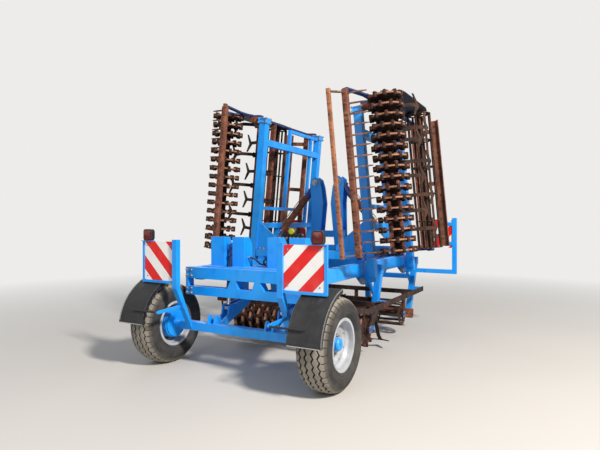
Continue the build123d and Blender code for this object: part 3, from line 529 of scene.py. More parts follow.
@dataclass(frozen=True)
class PostPaint(MachinePaint):
    """The sign posts' paint, with the mudguards' stays sprayed black beside them."""

    inner: float = 0.7
    below: float = 0.75
    black: str = "#191B1E"

    def make(self) -> bpy.types.Material:
        """Make the material, black outside the post and under the carrier bar."""
        coat = self.layers()
        parts = add_node(coat.tree, "SeparateXYZ", {"Vector": coat.coords.outputs["Object"]})
        across = add_node(coat.tree, "Math", {0: parts.outputs["X"]}, operation="ABSOLUTE")
        beyond = add_node(coat.tree, "Math", {0: across.outputs[0], 1: self.inner}, operation="GREATER_THAN")
        low = add_node(coat.tree, "Math", {0: parts.outputs["Z"], 1: self.below}, operation="LESS_THAN")
        both = add_node(coat.tree, "Math", {0: beyond.outputs[0], 1: low.outputs[0]}, operation="MULTIPLY")
        coat.lay(both.outputs[0], self.black, 0.6)
        return coat.done()


@dataclass(frozen=True)
class BarrelPaint(MachinePaint):
    """A fold barrel's paint, flaked off below, where the steel has rusted."""

    whole_above: float = 1.98
    bare_below: float = 1.93
    bloom: str = "#8A5638"

    def make(self) -> bpy.types.Material:
        """Make the material, from its height on the folded machine."""
        coat = self.layers()
        parts = add_node(coat.tree, "SeparateXYZ", {"Vector": coat.coords.outputs["Object"]})
        bare = add_node(coat.tree, "MapRange", {"Value": parts.outputs["Z"], "From Min": self.whole_above,
                                                "From Max": self.bare_below}).outputs[0]
        coat.lay(bare, self.rust, 0.9)
        coat.lay(coat.patches(0.05, 0.46, 0.62, 5.0, 0.8, bare), self.bloom)
        return coat.done()


@dataclass(frozen=True)
class RustedSteel:
    """Hot-rolled steel left in the rain: a dull brown skin, lighter where it is fresh, pitted."""

    name: str
    base: str
    fresh: str
    dark: str
    soil: str = "#8C7A64"
    patch_size: float = 0.16
    pit_size: float = 0.006
    soil_share: float = 0.3
    edge_share: float = 0.4
    worn: str = "#8E6148"

    def make(self) -> bpy.types.Material:
        """Make the material."""
        coat = Coating(self.name, self.base, 0.9, Specular_IOR_Level=0.3)
        edges = coat.soften(0.003)
        coat.lay(coat.patches(self.patch_size, 0.45, 0.62, 6.0), self.fresh)
        coat.lay(coat.patches(self.patch_size * 0.35, 0.5, 0.64, 6.0), self.dark, 0.8)
        coat.lay(coat.patches(0.012, 0.5, 0.66, 5.0, 0.6), self.fresh)
        coat.lay(coat.patches(0.07, 0.52, 0.75, 5.0, self.soil_share), self.soil, 0.95)
        coat.lay(coat.patches(0.03, 0.35, 0.6, 4.0, self.edge_share, edges), self.worn, 0.7)
        coat.raise_by(coat.patches(self.pit_size, 0.3, 0.7, 4.0), 0.0012, 0.6)
        return coat.done()


@dataclass(frozen=True)
class SectionCoat:
    """A wing section's steel: side plates in dark alkyd paint, tine bars worn bare and rusted."""

    start: float
    end: float
    name: str = "part_painted_rusted_steel"
    paint: str = "#12295C"
    faded: str = "#1D3C78"
    rust: str = "#6E3C2C"
    bloom: str = "#94583A"
    dark: str = "#2E2220"
    plate: float = 0.024

    def make(self) -> bpy.types.Material:
        """Make the material, which tells bars from plates by their place along the folded wing."""
        coat = Coating(self.name, self.paint, 0.5, Specular_IOR_Level=0.45)
        edges = coat.soften(0.004)
        coat.lay(coat.patches(0.3, 0.42, 0.68, 5.0), self.faded)
        coat.lay(coat.patches(0.03, 0.45, 0.6, 4.0, 0.9, edges), self.rust, 0.9)
        along = Vector(JOINTS["ring_right_spin"]["axis"])
        either = add_node(coat.tree, "VectorMath", {0: coat.coords.outputs["Object"]}, operation="ABSOLUTE")
        place = add_node(coat.tree, "VectorMath", {0: either.outputs[0], 1: tuple(along)},
                         operation="DOT_PRODUCT")
        centre = along.dot(Vector((HINGE.x, 0.0, HINGE.z))) + (self.start + self.end) / 2
        middle = add_node(coat.tree, "Math", {0: place.outputs["Value"], 1: centre}, operation="SUBTRACT")
        reach = add_node(coat.tree, "Math", {0: middle.outputs[0]}, operation="ABSOLUTE")
        half = (self.end - self.start) / 2 - self.plate
        bars = add_node(coat.tree, "MapRange", {"Value": reach.outputs[0], "From Min": half,
                                                "From Max": half - 0.002})
        coat.lay(bars.outputs[0], self.rust, 0.9)
        coat.lay(coat.patches(0.12, 0.5, 0.64, 6.0, 1.0, bars.outputs[0]), self.bloom)
        coat.lay(coat.patches(0.05, 0.52, 0.64, 6.0, 0.85, bars.outputs[0]), self.dark)
        coat.raise_by(coat.patches(0.006, 0.3, 0.7, 4.0), 0.001, 0.5)
        return coat.done()


@dataclass(frozen=True)
class DustyRubber:
    """Carbon-black tyre rubber, moulded: dull, with pale dust in patches and on the tread, and painted shade
    in the grooves.
    """

    name: str = "moulded_tyre_rubber"
    base: str = "#323233"
    dust: str = "#7F7A70"
    tread_dust: str = "#9C968A"
    # Colour of the painted shade in the grooves.
    groove: str = "#1B1A19"
    tread_from: float = 0.385
    tread_full: float = 0.430
    radius: float = 0.445
    tread_half: float = 0.131
    shoulder_drop: float = 0.024

    def grooves(self, coat: Coating) -> bpy.types.NodeSocket:
        """A mask of what lies below the tread's crown, the grooves, where shade is painted.

        Args:
            coat: The material in the making.

        Returns:
            The mask.
        """
        parts = add_node(coat.tree, "SeparateXYZ", {"Vector": coat.coords.outputs["Object"]})
        across = add_node(coat.tree, "Math", {0: parts.outputs["X"]}, operation="ABSOLUTE")
        share = add_node(coat.tree, "Math", {0: across.outputs[0], 1: self.tread_half}, operation="DIVIDE")
        cubed = add_node(coat.tree, "Math", {0: share.outputs[0], 1: 3.0}, operation="POWER")
        level = add_node(coat.tree, "Math", {0: cubed.outputs[0], 1: self.shoulder_drop, 2: coat.off_axis()},
                         operation="MULTIPLY_ADD")
        return add_node(coat.tree, "MapRange", {"Value": level.outputs[0], "From Min": self.radius - 0.003,
                                                "From Max": self.radius - 0.008}).outputs[0]

    def make(self) -> bpy.types.Material:
        """Make the material, whose object coordinates start at the wheel's middle."""
        coat = Coating(self.name, self.base, 0.85, Specular_IOR_Level=0.3)
        coat.lay(coat.patches(0.11, 0.4, 0.75, 5.0, 0.22), self.dust, 0.95)
        tread = add_node(coat.tree, "MapRange", {"Value": coat.off_axis(), "From Min": self.tread_from,
                                                 "From Max": self.tread_full}).outputs[0]
        coat.lay(coat.patches(0.3, 0.0, 0.45, 3.0, 0.85, tread), self.tread_dust, 0.95)
        coat.lay(coat.patches(0.02, 0.45, 0.7, 6.0, 0.5, tread), self.dust)
        # The grooves are painted near-black: painted shade in the recesses.
        below = add_node(coat.tree, "Math", {0: self.grooves(coat), 1: tread}, operation="MULTIPLY")
        coat.lay(below.outputs[0], self.groove, 0.9)
        coat.raise_by(coat.patches(0.005, 0.3, 0.7, 3.0), 0.0006, 0.5)
        return coat.done()


@dataclass(frozen=True)
class WheelPaint:
    """Silver-grey stove enamel on pressed steel: pale, half glossy, streaked with brake dust."""

    name: str = "stove_enamelled_rim_steel"
    base: str = "#AEB3BA"
    grime: str = "#6F675C"
    rust: str = "#6D4026"

    def make(self) -> bpy.types.Material:
        """Make the material."""
        coat = Coating(self.name, self.base, 0.38, Specular_IOR_Level=0.5)
        edges = coat.soften(0.003)
        coat.lay(coat.patches(0.09, 0.4, 0.75, 5.0, 0.45), self.grime, 0.7)
        coat.lay(coat.patches(0.02, 0.5, 0.62, 4.0, within=edges), self.rust, 0.9)
        coat.lay(coat.patches(0.012, 0.73, 0.76), self.rust, 0.9)
        return coat.done()


@dataclass(frozen=True)
class MouldedPlastic:
    """Black polyethylene, rotation moulded: waxy and dull, greyed by sun and dust."""

    name: str
    base: str
    dust: str
    roughness: float = 0.55
    dusting: float = 0.45
    scuff: str = "#8C8E90"
    scuffing: float = 0.7

    def make(self) -> bpy.types.Material:
        """Make the material."""
        coat = Coating(self.name, self.base, self.roughness, Specular_IOR_Level=0.45)
        coat.lay(coat.patches(0.02, 0.25, 0.5, 4.0, self.scuffing, coat.soften(0.004)), self.scuff)
        coat.lay(coat.patches(0.14, 0.38, 0.72, 6.0, self.dusting), self.dust, 0.85)
        coat.lay(coat.patches(0.03, 0.55, 0.8, 4.0, self.dusting, stretch=(1.0, 1.0, 7.0)), self.dust, 0.9)
        coat.raise_by(coat.patches(0.002, 0.2, 0.8, 2.0), 0.0003, 0.4)
        return coat.done()


@dataclass(frozen=True)
class StripedFilm:
    """Retroreflective film with glass beads on aluminium sheet: saturated, satin, faintly cellular."""

    inner: float
    top: float
    side: float
    name: str = "retroreflective_sign_film"
    white: str = "#ECECEA"
    red: str = "#DA1512"
    grime: str = "#9A948A"
    period: float = 0.725
    start: float = 0.09
    cell: float = 0.006

    def make(self) -> bpy.types.Material:
        """Make the material: stripes fall towards the machine's middle on both boards."""
        coat = Coating(self.name, self.white, 0.42, Specular_IOR_Level=0.5, Coat_Weight=0.15)
        either = add_node(coat.tree, "VectorMath", {0: coat.coords.outputs["Object"]}, operation="ABSOLUTE")
        slope = 1.0 / (self.side * self.period)
        across = add_node(coat.tree, "VectorMath", {0: either.outputs[0], 1: (slope, 0.0, -slope)},
                          operation="DOT_PRODUCT")
        start = (self.top - self.inner) * slope + self.start / self.period
        turns = add_node(coat.tree, "Math", {0: across.outputs["Value"], 1: start}, operation="ADD")
        share = add_node(coat.tree, "Math", {0: turns.outputs[0]}, operation="FRACT")
        stripe = add_node(coat.tree, "Math", {0: share.outputs[0], 1: 0.5}, operation="LESS_THAN")
        coat.lay(stripe.outputs[0], self.red)
        coat.lay(coat.patches(0.12, 0.5, 0.8, 5.0, 0.15), self.grime, 0.6)
        cells = add_node(coat.tree, "TexVoronoi", {"Vector": coat.coords.outputs["Object"],
                                                   "Scale": 1.0 / self.cell}, feature="DISTANCE_TO_EDGE")
        height = add_node(coat.tree, "MapRange", {"Value": cells.outputs["Distance"], "From Max": 0.12})
        coat.raise_by(height.outputs[0], 0.0002, 0.3)
        return coat.done()


@dataclass(frozen=True)
class PlainFinish:
    """A surface of one colour with fine specks and a light soiling, for small parts."""

    name: str
    base: str
    speck: str
    roughness: float
    metallic: float = 0.0
    speck_share: float = 0.5
    speck_size: float = 0.01
    coat_weight: float = 0.0

    def make(self) -> bpy.types.Material:
        """Make the material."""
        coat = Coating(self.name, self.base, self.roughness, Metallic=self.metallic,
                       Coat_Weight=self.coat_weight)
        mask = coat.patches(self.speck_size, 0.5, 0.68, 5.0, self.speck_share)
        coat.lay(mask, self.speck, min(0.95, self.roughness + 0.35))
        coat.raise_by(coat.patches(self.speck_size * 0.4, 0.3, 0.7, 3.0), 0.0003, 0.4)
        return coat.done()


def board_edges() -> tuple[float, float, float]:
    """Inner edge, top and side of the rear boards, from their CAD node."""
    low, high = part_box("rear_signs")
    side = high.z - low.z
    return high.x - side, high.z, side


class Finishes:
    """Every finish of the machine, made once."""

    def __init__(self) -> None:
        """Make the materials."""
        azure = ("#0593F2", "#1C9CF0", "#0870CC")
        navy = ("#153A7C", "#1C4A90", "#0B2450")
        # Sprayed alkyd paint: an even, bright azure with a soft gloss under the dust.
        self.azure = MachinePaint("azure_alkyd_machine_paint", *azure, film=0.05).make()
        # The same azure on the posts, with the guards' stays sprayed black.
        self.posts = PostPaint("azure_post_paint", *azure, film=0.05, inner=board_edges()[0] + 0.001).make()
        # An older coat: deep blue, darker than the azure, with more rust at the edges.
        self.navy = MachinePaint("navy_alkyd_machine_paint", *navy, wear=1.0).make()
        # The same navy on the fold barrels, flaked off below.
        self.barrels = BarrelPaint("flaked_navy_paint", *navy, wear=1.0).make()
        # Wing sections: dark paint on the side plates, bare rusted tine bars between them.
        self.section = SectionCoat(0.286, 2.186).make()
        # The centre section's coat is gone: dark rusted steel, with much of its darkness painted shade, for
        # where it sits under the main frame.
        self.worn = RustedSteel("dark_rusted_steel_painted_shade", "#251F22", "#4E3428", "#161416", "#5B4C3E",
                                soil_share=0.2).make()
        # Rolled sections, rusted through: red-brown with orange blooms.
        self.rust = RustedSteel("rusted_rolled_steel", "#683F33", "#87553D", "#412926").make()
        # Painted sunlight: a lighter orange-brown copy of the rusted steel for the right side's thin guard
        # bar, which catches more sun.
        self.sunlit_rust = RustedSteel("rusted_bar_steel_painted_sunlit", "#8C5B42", "#A56F50", "#654232").make()
        # Grey cast iron rings: near-black skin with orange blooms on the worn edges; the strong orange on the
        # edges is partly edge wear and partly painted highlight.
        self.cast = RustedSteel("rusted_cast_iron", "#1C1413", "#4B2A1F", "#110E0F", "#5E4C3B", 0.05,
                                soil_share=0.15, edge_share=0.9, worn="#9A6853").make()
        # The rings' rim bands: a lighter rust that is painted highlight, where light falls on the rims.
        self.rim_highlight = RustedSteel("ring_rim_painted_highlight", "#8A5E48", "#A97A5C", "#5A3A2C", "#9C886E", 0.10,
                                worn="#B58A6C").make()
        # Flat bars of the cage, thinly rusted with dry earth.
        self.rods = RustedSteel("rusted_flat_bar", "#2A1E1A", "#5C3B2A", "#181413", "#6B5947",
                                soil_share=0.2).make()
        # Spring steel: dark temper skin under thin rust.
        self.spring = RustedSteel("tempered_spring_steel", "#241D1B", "#4A3225", "#151314", "#5E5040",
                                  soil_share=0.15, worn="#6E4E3A").make()
        # Scraper fingers: bars that the soil keeps half bright.
        self.fingers = RustedSteel("scoured_finger_bar", "#54413A", "#8A6752", "#2A2220", "#8C7A64", 0.10,
                                   worn="#A98068").make()
        self.rubber = DustyRubber().make()
        self.rim = WheelPaint().make()
        # Mudguards: black polyethylene under dust.
        self.guard = MouldedPlastic("black_polyethylene", "#121315", "#3A3B3D").make()
        # The guards' beads, light grey: painted highlight along the outer and lower edges.
        self.guard_bead_highlight = MouldedPlastic("polyethylene_bead_painted_highlight", "#A3A5A6", "#8B8880",
                                         dusting=0.3).make()
        # Lamp housings: ABS, darker and smoother.
        self.housing = MouldedPlastic("black_abs", "#17181A", "#4A4846", 0.4, 0.25).make()
        # Dark sheet of the end shields: chalked grey-black paint.
        self.shield = MachinePaint("chalked_graphite_paint", "#2A2E38", "#3B4048", "#1B1D24",
                                   gloss=0.5).make()
        self.film = StripedFilm(*board_edges()).make()
        # Acrylic lens, injection moulded: clear gloss over a deep red.
        self.lens = PlainFinish("red_acrylic_lens", "#5E0E0B", "#3A0C0A", 0.15, 0.0, 0.35, 0.05, 0.4).make()
        # Electro-galvanised fasteners: dull grey zinc with white and brown bloom.
        self.zinc = PlainFinish("galvanised_bolt_steel", "#A3A6A9", "#6B4630", 0.45, 0.75, 0.6, 0.006).make()
        # Hard chrome on the rods: bright, with rust freckles.
        self.chrome = PlainFinish("hard_chromed_rod", "#C9CCCF", "#7A4B32", 0.16, 1.0, 0.35, 0.012).make()
        # Hydraulic hose: braided core under synthetic rubber, matt black.
        self.hose = PlainFinish("hydraulic_hose_rubber", "#1C1D1F", "#55504A", 0.6, 0.0, 0.4, 0.03).make()
        # Valve sections: cast iron under black machine enamel, with oil and dust in the gaps.
        self.enamel = PlainFinish("black_valve_enamel", "#1B1D21", "#5B5348", 0.42, 0.0, 0.45, 0.03).make()
        # Cap of the filter: soft yellow-green polyethylene.
        self.cap = PlainFinish("yellow_polyethylene_cap", "#CFDC1E", "#8F8A3A", 0.45, 0.0, 0.35, 0.03).make()
        # Bare aluminium sheet behind the film.
        self.sheet = PlainFinish("aluminium_sign_sheet", "#B4B6B8", "#7E7A74", 0.4, 0.9, 0.4, 0.04).make()


def dress(finish: bpy.types.Material, *nodes: str) -> None:
    """Give CAD nodes a finish.

    Args:
        finish: The material.
        nodes: The nodes that take it.
    """
    for name in nodes:
        node = frame["nodes"][name]
        if not node.material_slots:
            node.data.materials.append(finish)
        for slot in node.material_slots:
            slot.material = finish


# Wheels

@dataclass
class TransportWheel:
    """A wheel in its own frame, its middle at the origin and its outer face towards +X."""

    side: Side
    finishes: Finishes
    radius: float = 0.445
    half_width: float = 0.168
    tread_half: float = 0.131
    shoulder_drop: float = 0.024
    pitches: int = 38
    grooves: tuple = (-0.090, -0.032, 0.032, 0.090)
    groove_width: float = 0.019
    groove_depth: float = 0.016
    wave: float = 0.010
    slot_depth: float = 0.010
    bead: float = 0.2302
    disc_x: float = 0.035
    hub_radius: float = 0.062
    nut_circle: float = 0.093
    nuts: int = 8
    nut: float = 0.024
    hole_circle: float = 0.175
    hole: float = 0.014
    hand_holes: int = 8

    @property
    def centre(self) -> Vector:
        """The middle of the wheel."""
        return joint_place(self.side.of("wheel_spin"))

    @property
    def place(self) -> Matrix:
        """From the right wheel's frame to this wheel."""
        return Matrix.Translation(self.centre) @ self.side.mirror

    def piece(self, forge: Forge, stem: str, slot: str, finish: bpy.types.Material,
              crease: float = 32.0) -> bpy.types.Object:
        """Make one piece that turns with this wheel."""
        return forge.piece(self.side.of(stem), self.side.of("wheel"), slot, finish, origin=self.centre,
                           crease=crease)

    def crown(self, x: float) -> float:
        """Radius of the tread's surface across its width."""
        return self.radius - self.shoulder_drop * (abs(x) / self.tread_half) ** 3

    def tread_columns(self, share: float) -> list:
        """The tread's section at one place in its pitch.

        Args:
            share: How far through the pitch, from 0 to 1.

        Returns:
            Points as (x, radius), from the left shoulder to the right one.
        """
        swing = self.wave * (1.0 - 4.0 * abs(share - 0.5))
        edge = self.grooves[-1] + self.wave + self.groove_width
        columns = []
        for k, middle in enumerate(self.grooves):
            at = middle + swing * (-1) ** k
            wide, narrow = self.groove_width / 2, self.groove_width / 4
            deep = self.groove_depth
            for x, depth in ((at - wide, 0.0), (at - narrow, deep), (at + narrow, deep), (at + wide, 0.0)):
                columns.append((x, self.crown(x) - depth))
            if k < len(self.grooves) - 1:
                rib = (middle + self.grooves[k + 1]) / 2
                columns.append((rib, self.crown(rib)))
        drop = self.slot_depth if 0.03 < share < 0.17 else 0.0
        half = self.tread_half
        shoulder = [(edge, self.crown(edge) - drop), (half - 0.003, self.crown(half) - drop),
                    (half + 0.010 - drop * 0.6, 0.408 - drop * 0.5), (0.154 - drop * 0.7, 0.386)]
        return [(-x, r) for x, r in reversed(shoulder)] + columns + shoulder

    def side_columns(self) -> list:
        """The right side wall down to its bead, with its raised rings."""
        wall = [(0.160, 0.375), (0.1645, 0.358), (0.168, 0.337), (0.168, 0.322), (0.165, 0.304),
                (0.157, 0.285), (0.146, 0.268), (0.1335, 0.254), (0.132, 0.240), (0.132, self.bead)]
        rings = (0.366, 0.348, 0.312, 0.277)
        points = []
        for (x0, r0), (x1, r1) in zip(wall, wall[1:]):
            points.append((x0, r0))
            for ring in rings:
                if r1 < ring < r0:
                    t = (r0 - ring) / (r0 - r1)
                    x = x0 + (x1 - x0) * t
                    points += [(x - 0.001, ring + 0.003), (x + 0.0014, ring + 0.001),
                               (x + 0.0014, ring - 0.001), (x - 0.001, ring - 0.003)]
        points.append(wall[-1])
        return [(min(x, self.half_width), r) for x, r in points]

    def build_tyre(self) -> None:
        """Make the tyre: waved ribs, shoulder blocks, ringed side walls and beads."""
        forge = Forge(self.place)
        wall = self.side_columns()
        inner = [(0.106, self.bead), (0.106, 0.256), (0.138, 0.306), (0.150, 0.329), (0.125, 0.389),
                 (0.0, 0.401)]
        back = [(-x, r) for x, r in reversed(inner[:-1])]
        left = [(-x, r) for x, r in reversed(wall)]
        shares = (0.0, 0.04, 0.16, 0.20, 0.35, 0.5, 0.65, 0.82)
        rings = []
        for pitch in range(self.pitches):
            for share in shares:
                a = math.tau * (pitch + share) / self.pitches
                section = self.tread_columns(share) + wall + inner + back + left
                rings.append([polar(x, r, a) for x, r in section])
        forge.loft(rings, closed=True)
        tyre = self.piece(forge, "tyre_with_tread", "tyre_rubber", self.finishes.rubber, 38.0)
        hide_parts(self.side.of("tyre"))

    def build_rim(self) -> None:
        """Make the pressed rim with its flanges, drop centre, disc, hand holes and nuts."""
        half, wall, flange, bead, drop, deep = 0.140, 0.008, 0.252, 0.230, 0.205, 0.065
        outer = [(-half, flange), (-half + wall, flange), (-half + wall, bead), (-deep - 0.024, bead),
                 (-deep, drop), (deep, drop), (deep + 0.024, bead), (half - wall, bead),
                 (half - wall, flange), (half, flange)]
        inner = [(half, bead - wall), (deep + 0.020, bead - wall), (deep - 0.004, drop - wall),
                 (-deep + 0.004, drop - wall), (-deep - 0.020, bead - wall), (-half, bead - wall)]
        forge = Forge(self.place)
        forge.turned(rounded(outer + inner, 0.007), 96)
        rim = self.piece(forge, "rim_pressing", "rim_grey", self.finishes.rim)
        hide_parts(self.side.of("rim"))
        self.build_disc()

    def build_disc(self) -> None:
        """Make the dished disc, cut its hand holes and set the nuts on their studs."""
        x, thick, step, outer = self.disc_x, 0.014, 0.022, 0.1985
        forge = Forge(self.place)
        corners = [(x, self.hub_radius + 0.0004), (x, 0.120), (x + step, 0.150), (x + step, outer),
                   (x + step - thick, outer), (x + step - thick, 0.158), (x - thick, 0.128),
                   (x - thick, self.hub_radius + 0.0004)]
        forge.turned(rounded(corners, 0.006), 96)
        disc = self.piece(forge, "rim_disc", "rim_grey", self.finishes.rim)
        cutter = Forge(self.place)
        for k in range(self.hand_holes):
            a = math.tau * (k + 0.5) / self.hand_holes
            cutter.rod(polar(-0.05, self.hole_circle, a), polar(0.12, self.hole_circle, a), self.hole, 16)
        carve(disc, cutter)
        nuts = Forge(self.place)
        for k in range(self.nuts):
            at = polar(x, self.nut_circle, math.tau * k / self.nuts)
            nuts.bolt(at, (1.0, 0.0, 0.0), self.nut, self.nut / 2)
        self.piece(nuts, "wheel_nuts", "rim_grey", self.finishes.zinc)

    def build_hub(self) -> None:
        """Make the hub: brake drum with its cooling ribs, flange, cap and grease screw."""
        x, bore = self.disc_x, 0.03805
        cap = x + 0.070
        drum, rib, groove = -0.130, 0.160, 0.155
        outline = [(drum, bore), (drum, rib), (drum + 0.012, rib), (drum + 0.014, groove),
                   (drum + 0.024, groove), (drum + 0.026, rib), (drum + 0.036, rib), (drum + 0.038, groove),
                   (drum + 0.050, groove), (drum + 0.052, rib), (drum + 0.086, rib), (drum + 0.090, 0.150),
                   (drum + 0.090, 0.092), (x - 0.018, 0.086), (x - 0.018, 0.062), (x + 0.034, 0.062),
                   (x + 0.038, 0.057), (x + 0.044, 0.057), (x + 0.048, 0.062), (cap - 0.012, 0.060),
                   (cap - 0.003, 0.052), (cap, 0.040), (cap, 0.0), (cap - 0.025, 0.0), (cap - 0.025, bore)]
        forge = Forge(self.place)
        forge.turned(outline, 64)
        forge.turned([(cap - 0.002, 0.0), (cap - 0.002, 0.009), (cap, 0.008), (cap, 0.0)], 12)
        hub = self.piece(forge, "hub_and_drum", "paint_blue", self.finishes.azure)
        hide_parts(self.side.of("hub"))

    def build(self) -> None:
        """Make the whole wheel."""
        self.build_tyre()
        self.build_rim()
        self.build_hub()


def carve(piece: bpy.types.Object, cutter: Forge) -> None:
    """Cut a forge's closed shapes out of a piece.

    Args:
        piece: The piece that is cut.
        cutter: The shapes that are taken away.
    """
    mesh = bpy.data.meshes.new("cutter")
    mesh.from_pydata([tuple(p) for p in cutter.points], [], cutter.faces)
    tool = add_object("cutter", mesh)
    mend(mesh)
    cut = piece.modifiers.new("cut", "BOOLEAN")
    cut.operation = "DIFFERENCE"
    cut.object = tool
    cut.solver = "EXACT"
    bpy.context.view_layer.update()
    result = bpy.data.meshes.new_from_object(piece.evaluated_get(bpy.context.evaluated_depsgraph_get()))
    piece.modifiers.remove(cut)
    piece.data = result
    shade(result)
    bpy.data.objects.remove(tool)


# Rollers

@dataclass
class RollerSpan:
    """How a section's rollers lie between its side plates, in the section's own frame."""

    inner: float
    outer: float
    side_plate: float = 0.020
    gap: float = 0.008

    @property
    def clear(self) -> tuple[float, float]:
        """The side plates' faces towards each other."""
        return self.inner + self.side_plate, self.outer - self.side_plate

    @property
    def first(self) -> float:
        """Where a roller starts."""
        return self.clear[0] + self.gap

    @property
    def last(self) -> float:
        """Where a roller ends."""
        return self.clear[1] - self.gap

    def spread(self, room: float, pitch: float) -> list[float]:
        """Places about the middle at an even pitch, as many as the room holds."""
        count = int(room // pitch) + 1
        return [(self.inner + self.outer) / 2 + (k - (count - 1) / 2) * pitch for k in range(count)]


@dataclass
class Roller:
    """What both kinds of roller share: their place in a section and the stubs that carry them."""

    finishes: Finishes
    stem: str
    detail: str
    ahead_of_axle: float
    depth: float
    stub: float = 0.020

    def fill(self, forge: Forge, span: RollerSpan) -> None:
        """Add what turns between the stubs."""
        raise NotImplementedError

    def dressing(self) -> tuple:
        """The record's slot and the finishes, one a tone."""
        raise NotImplementedError

    def build(self, where: str, span: RollerSpan, place: Matrix) -> None:
        """Make a whole roller, which turns on its own body and stands for its CAD node.

        Args:
            where: The section's name.
            span: The section it lies in.
            place: From the section's frame to the machine.
        """
        forge = Forge(place @ Matrix.Translation((0.0, self.ahead_of_axle, -self.depth)))
        self.fill(forge, span)
        for start, end in ((span.inner + 0.002, span.first), (span.last, span.outer - 0.002)):
            forge.rod((start, 0.0, 0.0), (end, 0.0, 0.0), self.stub, 20)
        roller = forge.piece(f"{self.stem}_roller_{self.detail}_{where}", f"{self.stem}_{where}",
                             *self.dressing())
        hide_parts(f"{self.stem}_roller_{where}")


@dataclass
class RingRoller(Roller):
    """Cast rings with cross knobs on a narrow rim, threaded on a square shaft."""

    stem: str = "ring"
    detail: str = "cast"
    ahead_of_axle: float = 1.260
    depth: float = 0.545
    radius: float = 0.210
    valley: float = 0.174
    rim: float = 0.196
    inner_rim: float = 0.146
    thickness: float = 0.042
    knob: float = 0.064
    web: float = 0.014
    pitch: float = 0.118
    teeth: int = 10
    shaft: float = 0.070
    bore: float = 0.048
    hub: float = 0.062
    hub_half: float = 0.027

    def ring(self, forge: Forge, x: float, phase: float) -> None:
        """Add one cast ring.

        Args:
            forge: The mesh it goes to.
            x: Its place along the shaft.
            phase: How far it is turned, in teeth.
        """
        w, half, slim, bevel = self.web / 2, self.knob / 2, self.web / 2 + 0.003, 0.003
        low_tip, flank = self.radius - 0.004, (half * 0.75, self.valley + 0.014)
        shape = ((-0.50, slim, self.valley), (-0.26, slim, self.valley), (-0.19, *flank),
                 (-0.12, half, low_tip), (-0.05, half, self.radius), (0.05, half, self.radius),
                 (0.12, half, low_tip), (0.19, *flank), (0.26, slim, self.valley))
        rings = []
        for tooth in range(self.teeth):
            for share, wide, tip in shape:
                a = math.tau * (tooth + phase + share) / self.teeth
                low = self.inner_rim if wide < half * 0.7 else self.inner_rim + 0.006
                section = [(-wide, tip - bevel), (-wide + bevel, tip), (wide - bevel, tip),
                           (wide, tip - bevel), (wide, low + 0.010), (w, low), (-w, low),
                           (-wide, low + 0.010)]
                rings.append([polar(x + dx, r, a) for dx, r in section])
        forge.loft(rings, closed=True)
        # The rim band takes the lighter finish, a painted highlight.
        forge.tone = 1
        near, far, root = x - slim + 0.001, x + slim - 0.001, self.valley - 0.006
        forge.turned([(near, root), (near, self.rim), (far, self.rim), (far, root)], 60)
        forge.tone = 0
        h, face, rim = self.hub, self.hub_half, self.inner_rim + 0.002
        forge.turned([(x - face, self.bore), (x - face, h), (x - w, h + 0.006), (x - w, rim),
                      (x + w, rim), (x + w, h + 0.006), (x + face, h), (x + face, self.bore)], 24)

    def fill(self, forge: Forge, span: RollerSpan) -> None:
        """Add the rings, every second one turned half a tooth, and their shaft."""
        for k, x in enumerate(span.spread(span.last - span.first - self.thickness, self.pitch)):
            self.ring(forge, x, 0.5 * (k % 2))
        forge.bar(square((0.0, 0.0), self.shaft / 2, 0.008), span.first, span.last)

    def dressing(self) -> tuple:
        """Cast iron, and the rim bands with their painted highlight."""
        return "cast_rings", self.finishes.cast, self.finishes.rim_highlight


@dataclass
class CageRoller(Roller):
    """Flat bars welded across a row of spoked discs, round a centre tube."""

    stem: str = "cage"
    detail: str = "bars"
    ahead_of_axle: float = 2.550
    depth: float = 0.570
    radius: float = 0.165
    bars: int = 8
    bar_width: float = 0.030
    bar_height: float = 0.012
    discs: int = 6
    disc: float = 0.008
    tube: float = 0.030
    collar: float = 0.052
    spoke_half: float = 0.018
    rim_share: float = 0.72

    def disc_shape(self, forge: Forge, x: float) -> None:
        """Add one disc: a rim with flats under the bars, spokes and a collar.

        Args:
            forge: The mesh it goes to.
            x: Where the disc starts.
        """
        step = math.tau / self.bars
        seat = self.radius - self.bar_height
        corner = seat / math.cos(step / 2)
        near, far = x, x + self.disc
        inside = corner * self.rim_share
        forge.loft([[polar(at, radius, step * (k + 0.5)) for k in range(self.bars)]
                    for at, radius in ((near, corner), (far, corner), (far, inside), (near, inside))],
                   closed=True)
        half, root = self.spoke_half, self.tube - 0.001
        for k in range(self.bars // 2):
            turn = Matrix.Rotation(step * (2 * k + 0.5), 4, "X")
            forge.box((near, -half, self.tube - 0.004), (far, half, seat * 0.80), turn)
        near, far = near - 0.004, far + 0.004
        forge.turned([(near, root), (near, self.collar), (far, self.collar), (far, root)], 24)

    def fill(self, forge: Forge, span: RollerSpan) -> None:
        """Add the discs, the bars across them and the tube.

        Args:
            forge: The mesh they go to.
            span: The section they lie in.
        """
        pitch = (span.last - span.first - self.disc) / (self.discs - 1)
        for k in range(self.discs):
            self.disc_shape(forge, span.first + k * pitch)
        half, seat = self.bar_width / 2, self.radius - self.bar_height
        section = rectangle((-half, seat - 0.001), (half, self.radius), 0.003, 2)
        for k in range(self.bars):
            forge.bar(section, span.first, span.last, Matrix.Rotation(math.tau * k / self.bars, 4, "X"))
        forge.rod((span.first, 0.0, 0.0), (span.last, 0.0, 0.0), self.tube, 24)

    def dressing(self) -> tuple:
        """Rusted flat bar throughout."""
        return "rust_rods", self.finishes.rods


# Boards, lamps and mudguards

